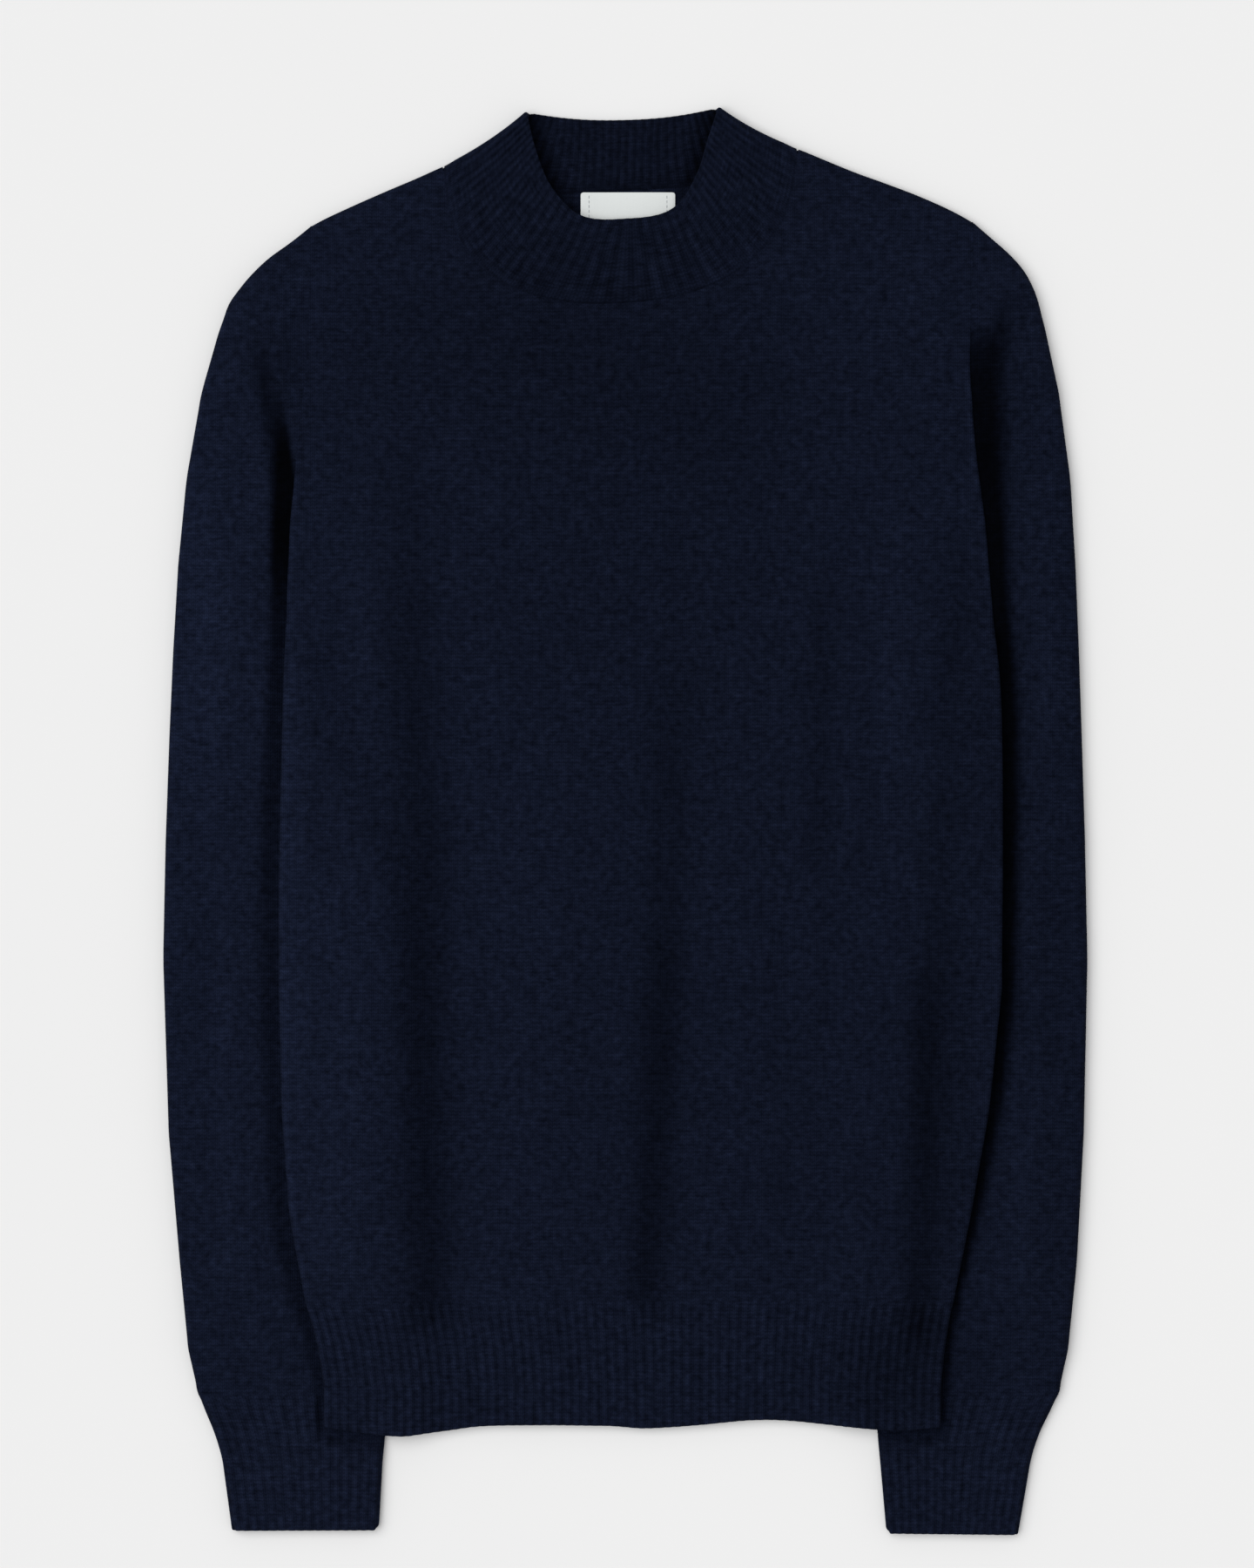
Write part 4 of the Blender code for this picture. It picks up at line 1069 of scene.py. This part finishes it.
def cuff_cloth(side):
    """The cuff: a ring of ribs, rows from the sleeve down to the open end."""
    end_line, end_y = cuff_end(side)
    share = np.linspace(0.0, 1.0, RIB_ROWS)[:, None]
    ribs = 2 * CUFF_RIBS
    phase = np.linspace(0.0, ribs, ribs * POINTS_A_RIB + 1)
    is_upper = (phase <= CUFF_RIBS)[None, :]
    across = np.where(is_upper, phase, ribs - phase) / CUFF_RIBS
    y = mix(WRIST_Y + SEAM_OVERLAP, end_y, share) * np.ones_like(across)
    outer, inner = side.outer(y), side.inner(y)
    width = outer - inner
    arc = math.pi / 2.0 * CUFF_RADIUS
    girth = width + 2.0 * (arc - CUFF_RADIUS)
    run = across * girth
    outer_turn = np.clip(run / arc, 0.0, 1.0) * math.pi / 2.0
    inner_turn = np.clip((girth - run) / arc, 0.0, 1.0) * math.pi / 2.0
    from_outer = run - (arc - CUFF_RADIUS)
    from_outer = np.where(run < arc, CUFF_RADIUS * (1.0 - np.cos(outer_turn)), from_outer)
    at_inner = width - CUFF_RADIUS * (1.0 - np.cos(inner_turn))
    from_outer = np.where(girth - run < arc, at_inner, from_outer)
    out = outer - from_outer
    corner = CUFF_CORNER * (1.0 - quarter_round((width - from_outer) / CUFF_CORNER))
    row_y = mix(WRIST_Y + SEAM_OVERLAP, end_line(out[-1:]) + EDGE_ROLL + corner[-1:], share)
    top = cuff_height(side, out, row_y)
    z = mix(top / 2.0, np.where(is_upper, top, 0.0), np.sin(outer_turn) * np.sin(inner_turn))
    points = np.stack([side.sign * out, row_y, z], axis=2)
    clear = outside_body(side, out, row_y)
    # Painted shadow on the cuff below and beside the hem.
    under_hem = HEM_SHADOW * bell((clear - 1.0) / HEM_SHADOW_RUN) * is_upper
    knit = np.stack([phase[None, :] * RIB_PITCH * np.ones_like(out), row_y], axis=2)
    shade = mix(rib_shade(phase, side.sign * out, row_y), 1.0, under_hem)
    # Ribs stand up above, are cut in below and fade out at the sleeve.
    sunk = 0.5 - 0.5 * np.where(is_upper, 1.0, -1.0) * np.sin(outer_turn) * np.sin(inner_turn)
    pressed = mix(PRESSED_RIBS, 1.0, ease(clear / PRESSED_RUN))
    relief_share = pressed * ease((WRIST_Y - row_y) / RIB_RUN)
    return Cloth(points, knit, np.ones_like(out), shade), phase, mix(0.5, 1.0, sunk), relief_share


CUFF_RADIUS = 3.2
CUFF_CORNER = 2.5
CUFF_CORNER_RUN = 14.0
CUFF_OUTER_CORNER = 3.0
CUFF_KNOTS = 7
CUFF_BEYOND = 30.0
HEM_SHADOW = 0.3
HEM_SHADOW_RUN = 6.0
# The share of the ribs' relief where the hem presses on the cuff.
PRESSED_RIBS = 0.3
PRESSED_RUN = 4.0


# ---- Collar and label ----


rim_x = smooth_curve([row.share for row in RIM], [row.x for row in RIM])
rim_y = smooth_curve([row.share for row in RIM], [row.y for row in RIM])


def collar_plan(share, rise, front):
    """Where the collar lies at a share of its front's or its back's ribs and a share of its height."""
    if front:
        seam_x, seam_y = neck_point(share, FRONT_NECK_DROP)
        edge_x, edge_y = rim_x(share), rim_y(share)
    else:
        # The middle ribs of the back stand side by side, and only the outer ones fan out.
        spread = 2.0 * share - 1.0
        rim_half = (RIM[-1].x - RIM[0].x) / 2.0
        fanned = (NECK_HALF - rim_half) * spread * np.abs(spread) ** 3
        seam_across = (rim_half * spread + fanned) / NECK_HALF
        seam_x = NECK_MIDDLE + NECK_HALF * seam_across
        seam_fold = mix(NECK_RIGHT[1], NECK_LEFT[1], (seam_across + 1.0) / 2.0)
        round_share = np.maximum(1.0 - np.abs(seam_across) ** NECK_POWER, 0.0)
        seam_y = seam_fold - BACK_NECK_DROP * round_share ** (1.0 / NECK_POWER)
        edge_x = mix(RIM[0].x, RIM[-1].x, share)
        fold_y = mix(RIM[0].y, RIM[-1].y, share)
        edge_y = fold_y - BACK_RIM_DIP * (1.0 - np.abs(2.0 * share - 1.0) ** BACK_RIM_POWER)
    # The collar's sides hollow in a little on their way up.
    hollow = COLLAR_HOLLOW * 4.0 * rise * (1.0 - rise) * (1.0 - 2.0 * share)
    x = mix(seam_x, edge_x, rise) + hollow
    return x, mix(seam_y, edge_y, rise) - np.abs(hollow) * COLLAR_HOLLOW_DROP


COLLAR_HOLLOW = 1.8
COLLAR_HOLLOW_DROP = 0.5
COLLAR_TALL = 43.0
# Rows by their share of the collar's height, and how much closer its columns stand at the folds.
COLLAR_LOW_RISES = (0.0, 0.008, 0.025, 0.05)
COLLAR_END = 0.97
COLLAR_ROWS = 24
COLLAR_CLOSE = 0.35
COLLAR_RIPPLES = 0.6
COLLAR_FOLD_RADIUS = FOLD_RADIUS + 0.8
COLLAR_FOLD_RISE = 0.6
SEAM_RIDGE = 0.9
RIDGE_RISE = 0.055
RIDGE_HALF = 0.065
INNER_SHADOW = 0.66
INNER_SHADOW_RUN = 15.0
SEAM_SHADE = 0.3
INNER_SEAM_RISE = 0.2
FRONT_SEAM_RISE = 0.03
COLLAR_SHADE = 0.12
INNER_SHADE = 0.16


def collar_cloth():
    """The collar as one ring of ribs: its front from right to left, then its back; rows go up."""
    ribs = COLLAR_FRONT_RIBS + COLLAR_BACK_RIBS
    phase = np.linspace(0.0, ribs, ribs * POINTS_A_RIB + 1)
    is_front = phase <= COLLAR_FRONT_RIBS
    front_share = phase / COLLAR_FRONT_RIBS
    back_share = 1.0 - (phase - COLLAR_FRONT_RIBS) / COLLAR_BACK_RIBS
    share = np.clip(np.where(is_front, front_share, back_share), 0.0, 1.0)
    # Close steps at the folds, where the collar turns over, and at the seam.
    share = mix(share, 0.5 - 0.5 * np.cos(math.pi * share), COLLAR_CLOSE)[None, :]
    rise = np.concatenate([COLLAR_LOW_RISES, np.linspace(0.08, COLLAR_END, COLLAR_ROWS)])[:, None]
    front_x, front_y = collar_plan(share, rise, True)
    back_x, back_y = collar_plan(share, rise, False)
    x = np.where(is_front[None, :], front_x, back_x)
    y = np.where(is_front[None, :], front_y, back_y)
    fold_x, fold_y = collar_plan(np.rint(share), rise, True)
    away = np.hypot(x - fold_x, y - fold_y)
    ridge = SEAM_RIDGE * bell((rise - RIDGE_RISE) / RIDGE_HALF)
    top = mix(BODY_LOFT, COLLAR_RIM_LOFT, ease(rise)) + ridge
    top = np.where(is_front[None, :], top + COLLAR_RIPPLES * ripples(x, y), 0.0)
    flat_share = quarter_round(away / COLLAR_FOLD_RADIUS)
    z = mix(FOLD_RADIUS + COLLAR_FOLD_RISE * rise, top, flat_share)
    points = np.stack([x, y, z], axis=2)
    ones = np.ones_like(x)
    knit = np.stack([phase[None, :] * RIB_PITCH * ones, rise * COLLAR_TALL * ones], axis=2)
    # Painted shade: the inside of the back is painted dark, most beside the folds and along its seam.
    inside = INNER_SHADE + SEAM_SHADE * ease(1.0 - rise / INNER_SEAM_RISE)
    inside = np.maximum(inside, INNER_SHADOW * near_rim(x, y, INNER_SHADOW_RUN))
    at_seam = SEAM_SHADE * ease(1.0 - rise / FRONT_SEAM_RISE) * bell((x - 5.0) / 75.0)
    # Painted shade: the whole collar is painted a little darker, and the front darker along its seam.
    shade = rib_shade(phase, x, y) + COLLAR_SHADE + np.where(is_front[None, :], at_seam, inside)
    sunk = 0.5 - 0.5 * np.where(is_front[None, :], 1.0, -1.0) * flat_share
    # The ribs fade out at the seam.
    relief_share = ease((rise - 0.01) / 0.14) * ones
    shade = shade - (1.0 - relief_share) * rib_shade(phase, 0.0 * x, 0.0 * y)
    return Cloth(points, knit, ones, shade), phase, sunk, relief_share


LABEL_WIDTH = 50.0
LABEL_LENGTH = 25.0
LABEL_THICK = 0.5
LABEL_CORNER = 1.5
LABEL_SAG = 0.25
LABEL_RIM = 0.12
LABEL_GRID = 2.0
# How far the middle of the label's thickness lies below its solid's top.
LABEL_SINK = 0.3
# The stitches along the label's short ends: how far out, their size, how many and how far apart.
STITCH_OUT = 20.6
STITCH_SIZE = (0.5, 1.9, 0.4)
LABEL_STITCHES = 9
STITCH_PITCH = 2.5
SORT_LINE = Vector((1.0, 0.0317, 0.00271))


def label_height(x, y):
    """The label waves a little, as a sewn tape does."""
    return LABEL_SAG * (np.sin(x / 9.0 + 0.6) + 0.6 * np.sin(y / 7.0))


def label_tape(bm, middle):
    """A thin tape with rounded corners and a soft rim, cut across often enough to wave."""
    bmesh.ops.create_cube(bm, size=1.0)
    size = Vector((LABEL_WIDTH, LABEL_LENGTH, LABEL_THICK)) * METRE
    bmesh.ops.scale(bm, vec=size, verts=bm.verts)
    corners = [edge for edge in bm.edges if abs(edge.verts[0].co.z - edge.verts[1].co.z) > 1e-4]
    bevel = {"profile": 0.5, "affect": "EDGES", "material": -1}
    bmesh.ops.bevel(bm, geom=corners, offset=LABEL_CORNER * METRE, segments=6, **bevel)
    rim = [edge for edge in bm.edges if len({round(vert.co.z, 5) for vert in edge.verts}) == 1]
    bmesh.ops.bevel(bm, geom=rim, offset=LABEL_RIM * METRE, segments=2, **bevel)
    for axis, half in ((Vector((1, 0, 0)), LABEL_WIDTH / 2), (Vector((0, 1, 0)), LABEL_LENGTH / 2)):
        for place in np.arange(-half + LABEL_GRID, half - LABEL_GRID / 2, LABEL_GRID):
            geom = bm.verts[:] + bm.edges[:] + bm.faces[:]
            bmesh.ops.bisect_plane(bm, geom=geom, plane_co=axis * place * METRE, plane_no=axis)
    bmesh.ops.translate(bm, vec=middle * METRE, verts=bm.verts)
    for vert in bm.verts:
        x, y = vert.co.x * MILLIMETRES, vert.co.y * MILLIMETRES
        vert.co.z += float(label_height(x, y)) * METRE


def put_in_order(bm):
    """Sorts the mesh by place along a slanting line, because bevels leave no fixed order."""
    bm.verts.sort(key=lambda vert: vert.co.dot(SORT_LINE))
    bm.edges.sort(key=lambda edge: (edge.verts[0].co + edge.verts[1].co).dot(SORT_LINE))
    bm.faces.sort(key=lambda face: face.calc_center_median().dot(SORT_LINE))


def label_stitches(bm, middle):
    """A row of stitches along each of the label's short ends, in the label's second material."""
    for sign in (-1, 1):
        for number in range(LABEL_STITCHES):
            y = (number - (LABEL_STITCHES - 1) / 2.0) * STITCH_PITCH
            place = Vector((middle.x + sign * STITCH_OUT, middle.y + y, 0.0))
            place.z = middle.z + LABEL_THICK / 2.0 + float(label_height(place.x, place.y))
            thread = bmesh.ops.create_uvsphere(bm, u_segments=6, v_segments=6, radius=0.5)["verts"]
            bmesh.ops.scale(bm, vec=Vector(STITCH_SIZE) * METRE, verts=thread)
            bmesh.ops.translate(bm, vec=place * METRE, verts=thread)
            for face in {face for vert in thread for face in vert.link_faces}:
                face.material_index = 1


# ---- Materials ----


def add_node(tree, kind, inputs=(), **settings):
    """Adds a node; inputs are pairs of socket and value, or socket and output to link from."""
    node = tree.nodes.new(kind)
    for name, value in settings.items():
        setattr(node, name, value)
    for socket, value in inputs:
        if isinstance(value, bpy.types.NodeSocket):
            tree.links.new(value, node.inputs[socket])
        else:
            node.inputs[socket].default_value = value
    return node


def new_material(name, surface):
    """A material's name and its shader's values; gives its node tree and shader too."""
    material = bpy.data.materials.new(name)
    material.use_nodes = True
    shader = material.node_tree.nodes["Principled BSDF"]
    for socket, value in surface.items():
        shader.inputs[socket].default_value = value
    return material, material.node_tree, shader


def maths(tree, operation, first, second=0.0, third=0.0):
    values = [(0, first), (1, second), (2, third)]
    return add_node(tree, "ShaderNodeMath", values, operation=operation).outputs[0]


def vector_maths(tree, operation, first, socket, second):
    values = [(0, first), (socket, second)]
    return add_node(tree, "ShaderNodeVectorMath", values, operation=operation).outputs[0]


def colour_by(tree, shader, hex_colour, factor):
    """The shader's colour, times a factor that varies from place to place."""
    colour = vector_maths(tree, "SCALE", linear(hex_colour), "Scale", factor)
    tree.links.new(colour, shader.inputs["Base Color"])


def bump_by(tree, shader, height, strength, distance):
    inputs = [("Strength", strength), ("Distance", distance), ("Height", height)]
    tree.links.new(add_node(tree, "ShaderNodeBump", inputs).outputs[0], shader.inputs["Normal"])


# Stitches are drawn a little coarser than in such a knit, which has 500 or more to the metre.
COURSES_A_WALE = 1.3
HOLLOW_SHADE = 0.9
PLAIN_RELIEF = 0.55
RIB_RELIEF = 0.45
STITCH_DEPTH = 0.5 * METRE


def stitch_relief(tree, knit):
    """The knit's wales, columns of Vs: the loops' two legs lean outwards as they go up."""
    wales = bpy.context.scene.sweater_cloth.stitches_a_metre
    scaled = vector_maths(tree, "MULTIPLY", knit, 1, (wales, wales * COURSES_A_WALE, 1.0))
    across, along, _ = add_node(tree, "ShaderNodeSeparateXYZ", [(0, scaled)]).outputs
    place = maths(tree, "ABSOLUTE", maths(tree, "SUBTRACT", maths(tree, "FRACT", across), 0.5))
    shifted = maths(tree, "SUBTRACT", along, maths(tree, "MULTIPLY", place, 1.3))
    loop = maths(tree, "SINE", maths(tree, "MULTIPLY", maths(tree, "FRACT", shifted), math.pi))
    leg = maths(tree, "SINE", maths(tree, "MULTIPLY", place, math.tau))
    return maths(tree, "MULTIPLY", maths(tree, "POWER", loop, 0.7), maths(tree, "POWER", leg, 0.6))


def knit_material(name, relief_strength):
    """Fine wool knit, matt with a soft fuzz: its yarn is dyed unevenly, so the navy looks mottled, and
    its stitches catch the light in their bump, with painted shade between the loops. Painted shade and
    light from the attribute hollow darken or lighten its colour. Made once and shared by the pieces of
    one finish."""
    if name in bpy.data.materials:
        return bpy.data.materials[name]
    colours = bpy.context.scene.sweater_colours
    surface = {
        "Roughness": 0.95,
        "Specular IOR Level": 0.02,
        "Sheen Weight": 0.012,
        "Sheen Roughness": 0.5,
        "Sheen Tint": (*colours.sheen_tint, 1.0),
    }
    material, tree, shader = new_material(name, surface)
    knit = add_node(tree, "ShaderNodeUVMap", uv_map="Knit").outputs["UV"]
    relief = stitch_relief(tree, knit)

    def uneven(across, along, detail, amount):
        """1 on average, more or less by noise of these scales to the metre."""
        place = add_node(tree, "ShaderNodeMapping", [("Vector", knit), ("Scale", (across, along, 1.0))])
        inputs = [("Vector", place.outputs[0]), ("Scale", 1.0), ("Detail", detail), ("Roughness", 0.6)]
        noise = add_node(tree, "ShaderNodeTexNoise", inputs).outputs["Fac"]
        return maths(tree, "MULTIPLY_ADD", noise, amount, 1.0 - amount / 2.0)

    # Uneven dye: clouds of 2 cm, mottling of 4 mm and streaks of 7 mm along the courses.
    clouds = uneven(60.0, 50.0, 2.0, 0.5)
    mottling = uneven(260.0, 230.0, 3.0, 1.9)
    streaks = uneven(150.0, 700.0, 3.0, 1.5)
    # Painted shade: it is darker between the loops and where the light is lost.
    loops = maths(tree, "MULTIPLY_ADD", relief, 0.5, 0.72)
    factor = maths(tree, "MULTIPLY", maths(tree, "MULTIPLY", clouds, mottling), streaks)
    factor = maths(tree, "MULTIPLY", factor, loops)
    hollow = add_node(tree, "ShaderNodeAttribute", attribute_name="hollow").outputs["Fac"]
    lit = maths(tree, "SUBTRACT", 1.0, maths(tree, "MULTIPLY", hollow, HOLLOW_SHADE))
    colour_by(tree, shader, colours.navy, maths(tree, "MULTIPLY", factor, lit))

    fuzz = uneven(1500.0, 1500.0, 3.0, 1.0)
    height = maths(tree, "MULTIPLY_ADD", fuzz, 0.5, relief)
    bump_by(tree, shader, height, relief_strength, STITCH_DEPTH)
    return material


def threads(tree, scale, distortion, direction):
    """Fine parallel bands across a direction, from 0 to 1."""
    place = add_node(tree, "ShaderNodeTexCoord").outputs["Object"]
    inputs = [("Vector", place), ("Scale", scale), ("Distortion", distortion), ("Detail", 1.0)]
    return add_node(tree, "ShaderNodeTexWave", inputs, bands_direction=direction).outputs["Fac"]


def label_material():
    """Woven satin tape: close threads, white and slightly shiny beside the matt wool."""
    surface = {"Roughness": 0.5, "Specular IOR Level": 0.35}
    material, tree, shader = new_material("woven_satin_label", surface)
    weft = maths(tree, "MULTIPLY", threads(tree, 900.0, 0.6, "Y"), 0.6)
    warp = maths(tree, "MULTIPLY", threads(tree, 500.0, 0.4, "X"), 0.4)
    weave = maths(tree, "ADD", weft, warp)
    tone = maths(tree, "MULTIPLY_ADD", weave, 0.08, 0.92)
    colour_by(tree, shader, bpy.context.scene.sweater_colours.label, tone)
    bump_by(tree, shader, weave, 0.4, 0.1 * METRE)
    return material


def thread_material():
    """Spun polyester sewing thread, pale grey and matt: it shows as small dull dashes on the satin."""
    material, tree, shader = new_material("spun_polyester_thread", {"Roughness": 0.8})
    tone = maths(tree, "MULTIPLY_ADD", threads(tree, 2500.0, 0.5, "DIAGONAL"), 0.2, 0.8)
    colour_by(tree, shader, bpy.context.scene.sweater_colours.thread, tone)
    return material


def floor_material():
    """A pale studio surface of matt paper with the faintest unevenness, so the garment stands out."""
    surface = {"Roughness": 0.9, "Specular IOR Level": 0.1}
    material, tree, shader = new_material("pale_paper_floor", surface)
    place = add_node(tree, "ShaderNodeTexCoord").outputs["Object"]
    inputs = [("Vector", place), ("Scale", 2.0), ("Detail", 2.0)]
    clouds = add_node(tree, "ShaderNodeTexNoise", inputs).outputs["Fac"]
    tone = maths(tree, "MULTIPLY_ADD", clouds, 0.02, 0.99)
    colour_by(tree, shader, bpy.context.scene.sweater_colours.floor, tone)
    return material


# ---- Operators ----


# What the back lies on, apart from the floor.
SLEEVES_BELOW = ["left_sleeve_knit", "right_sleeve_knit"]
CUFFS_BELOW = ["left_cuff_knit", "right_cuff_knit"]


def middle_of(cloth):
    rows, columns = cloth.full.shape
    return rows // 2, columns // 2


class SWEATER_OT_body(bpy.types.Operator):
    """Make the front and the back panel in plain knit"""

    bl_idname = "sweater.body"
    bl_label = "Body panels"

    def execute(self, context):
        step = cloth_setting("grid")
        panels = (
            ("front_panel", front_height, FRONT_NECK_DROP, step, True, ["back_panel_knit"]),
            ("back_panel", back_height, BACK_NECK_DROP, step * 1.5, False, SLEEVES_BELOW),
        )
        for name, height, drop, grid, up, below in panels:
            cloth = panel_cloth(height, drop, grid)
            normals = facing(grid_normals(cloth.points, False), *middle_of(cloth), up)
            piece = knit_piece(name, cloth, normals, "knit_wall")
        return {"FINISHED"}


class SWEATER_OT_hem(bpy.types.Operator):
    """Make the ribs along the front and the back hem"""

    bl_idname = "sweater.hem"
    bl_label = "Hem ribs"

    def execute(self, context):
        ribs = (
            ("front_hem_rib", front_height, True, ["back_hem_rib_knit"]),
            ("back_hem_rib", back_height, False, CUFFS_BELOW),
        )
        for name, height, up, lies_on in ribs:
            cloth, phase = hem_cloth(height, HEM_RIBS)
            normals = facing(grid_normals(cloth.points, False), *middle_of(cloth), up)
            below = RIB_TOP_Y - cloth.points[..., 1]
            cloth = raise_ribs(cloth, normals, phase, 0.5 if up else 1.0, ease(below / RIB_RUN))
            piece = knit_piece(name, cloth, normals, "rib_wall", rolled_end=True)
        return {"FINISHED"}


class SWEATER_OT_sleeves(bpy.types.Operator):
    """Make both sleeves, each a flattened tube that goes under the body"""

    bl_idname = "sweater.sleeves"
    bl_label = "Sleeves"

    def execute(self, context):
        for side in (LEFT, RIGHT):
            cloth, at_armhole = sleeve_cloth(side)
            normals = facing(grid_normals(cloth.points, False), len(at_armhole) // 3, -10)
            # Below the underarm the sleeve is a closed tube, whose two end columns are one.
            shared = normals[:, 0] + normals[:, -1]
            shared /= np.maximum(np.linalg.norm(shared, axis=1, keepdims=True), 1e-9)
            closed = (at_armhole[:, 0] <= 0.0)[:, None]
            normals[:, 0] = np.where(closed, shared, normals[:, 0])
            normals[:, -1] = np.where(closed, shared, normals[:, -1])
            node = f"{side.name}_sleeve"
            piece = knit_piece(node, cloth, normals, "knit_wall")
        return {"FINISHED"}


class SWEATER_OT_cuffs(bpy.types.Operator):
    """Make both cuffs, rings of ribs with an open end"""

    bl_idname = "sweater.cuffs"
    bl_label = "Cuff ribs"

    def execute(self, context):
        for side in (LEFT, RIGHT):
            cloth, phase, sunk, share = cuff_cloth(side)
            normals = facing(grid_normals(cloth.points, True), 5, len(phase) // 4)
            cloth = raise_ribs(cloth, normals, phase, sunk, share)
            node = f"{side.name}_cuff"
            piece = knit_piece(node, cloth, normals, "rib_wall", rolled_end=True)
        return {"FINISHED"}


class SWEATER_OT_collar(bpy.types.Operator):
    """Make the short stand collar, one ring of ribs that fans out to its seam"""

    bl_idname = "sweater.collar"
    bl_label = "Collar"

    def execute(self, context):
        cloth, phase, sunk, share = collar_cloth()
        normals = facing(grid_normals(cloth.points, True), 12, len(phase) // 4)
        cloth = raise_ribs(cloth, normals, phase, sunk, share)
        piece = knit_piece("collar", cloth, normals, "collar_wall", rolled_end=True)
        return {"FINISHED"}


class SWEATER_OT_label(bpy.types.Operator):
    """Make the bare neck label and the stitches that hold it"""

    bl_idname = "sweater.label"
    bl_label = "Neck label"

    def execute(self, context):
        low, high = box_mm("neck_label")
        middle = (low + high) / 2.0
        middle.z = high.z - LABEL_SINK
        bm = bmesh.new()
        label_tape(bm, middle)
        label_stitches(bm, middle)
        put_in_order(bm)
        mesh = bpy.data.meshes.new("neck_label_tape")
        bm.to_mesh(mesh)
        bm.free()
        mesh.shade_smooth()
        mesh.set_sharp_from_angle(angle=math.radians(40))
        piece = bpy.data.objects.new("neck_label_tape", mesh)
        context.scene.collection.objects.link(piece)
        dress(piece, "neck_label", label_material())
        mesh.materials.append(thread_material())
        return {"FINISHED"}


KEY_DIRECTION = (0.40, -0.12, -1.0)
KEY_ANGLE = math.radians(66)
KEY_STRENGTH = 2.15
SKY_STRENGTH = 0.43


class SWEATER_OT_stage(bpy.types.Operator):
    """Make the pale floor, the soft studio light and the camera that looks straight down"""

    bl_idname = "sweater.stage"
    bl_label = "Stage"

    def execute(self, context):
        bm = bmesh.new()
        bmesh.ops.create_grid(bm, x_segments=4, y_segments=4, size=3.0)
        mesh = bpy.data.meshes.new("floor")
        bm.to_mesh(mesh)
        bm.free()
        mesh.materials.append(floor_material())
        floor = bpy.data.objects.new("floor", mesh)
        context.scene.collection.objects.link(floor)

        world = bpy.data.worlds.new("studio")
        world.use_nodes = True
        background = world.node_tree.nodes["Background"]
        background.inputs["Color"].default_value = (1.0, 1.0, 1.0, 1.0)
        background.inputs["Strength"].default_value = SKY_STRENGTH
        context.scene.world = world

        key = bpy.data.lights.new("key", "SUN")
        key.angle = KEY_ANGLE
        key.energy = KEY_STRENGTH
        lamp = bpy.data.objects.new("key", key)
        lamp.rotation_euler = Vector(KEY_DIRECTION).to_track_quat("-Z", "Y").to_euler()
        context.scene.collection.objects.link(lamp)

        camera = bpy.data.cameras.new("camera")
        camera.sensor_width = SENSOR
        camera.lens = SENSOR * CAMERA_DISTANCE / FRAME_HEIGHT
        camera.clip_end = 20.0
        eye = bpy.data.objects.new("camera", camera)
        eye.location = Vector((*FRAME_CENTRE, CAMERA_DISTANCE + BODY_LOFT)) * METRE
        context.scene.collection.objects.link(eye)
        context.scene.camera = eye
        context.scene.view_settings.view_transform = "Standard"
        return {"FINISHED"}


class SWEATER_PT_panel(bpy.types.Panel):
    bl_label = "Mock neck sweater"
    bl_idname = "SWEATER_PT_panel"
    bl_space_type = "VIEW_3D"
    bl_region_type = "UI"
    bl_category = "Sweater"

    def draw(self, context):
        for group in (context.scene.sweater_cloth, context.scene.sweater_colours):
            for name in group.__annotations__:
                self.layout.prop(group, name)
        for operator in OPERATORS:
            self.layout.operator(operator.bl_idname)


OPERATORS = (
    SWEATER_OT_body,
    SWEATER_OT_hem,
    SWEATER_OT_sleeves,
    SWEATER_OT_cuffs,
    SWEATER_OT_collar,
    SWEATER_OT_label,
    SWEATER_OT_stage,
)
CLASSES = (SweaterCloth, SweaterColours, *OPERATORS, SWEATER_PT_panel)


def register():
    for item in CLASSES:
        bpy.utils.register_class(item)
    bpy.types.Scene.sweater_cloth = PointerProperty(type=SweaterCloth)
    bpy.types.Scene.sweater_colours = PointerProperty(type=SweaterColours)


def unregister():
    del bpy.types.Scene.sweater_colours
    del bpy.types.Scene.sweater_cloth
    for item in reversed(CLASSES):
        bpy.utils.unregister_class(item)


def main():
    register()
    bpy.ops.sweater.body()
    bpy.ops.sweater.hem()
    bpy.ops.sweater.sleeves()
    bpy.ops.sweater.cuffs()
    bpy.ops.sweater.collar()
    bpy.ops.sweater.label()
    bpy.ops.sweater.stage()


if __name__ == "__main__":
    main()
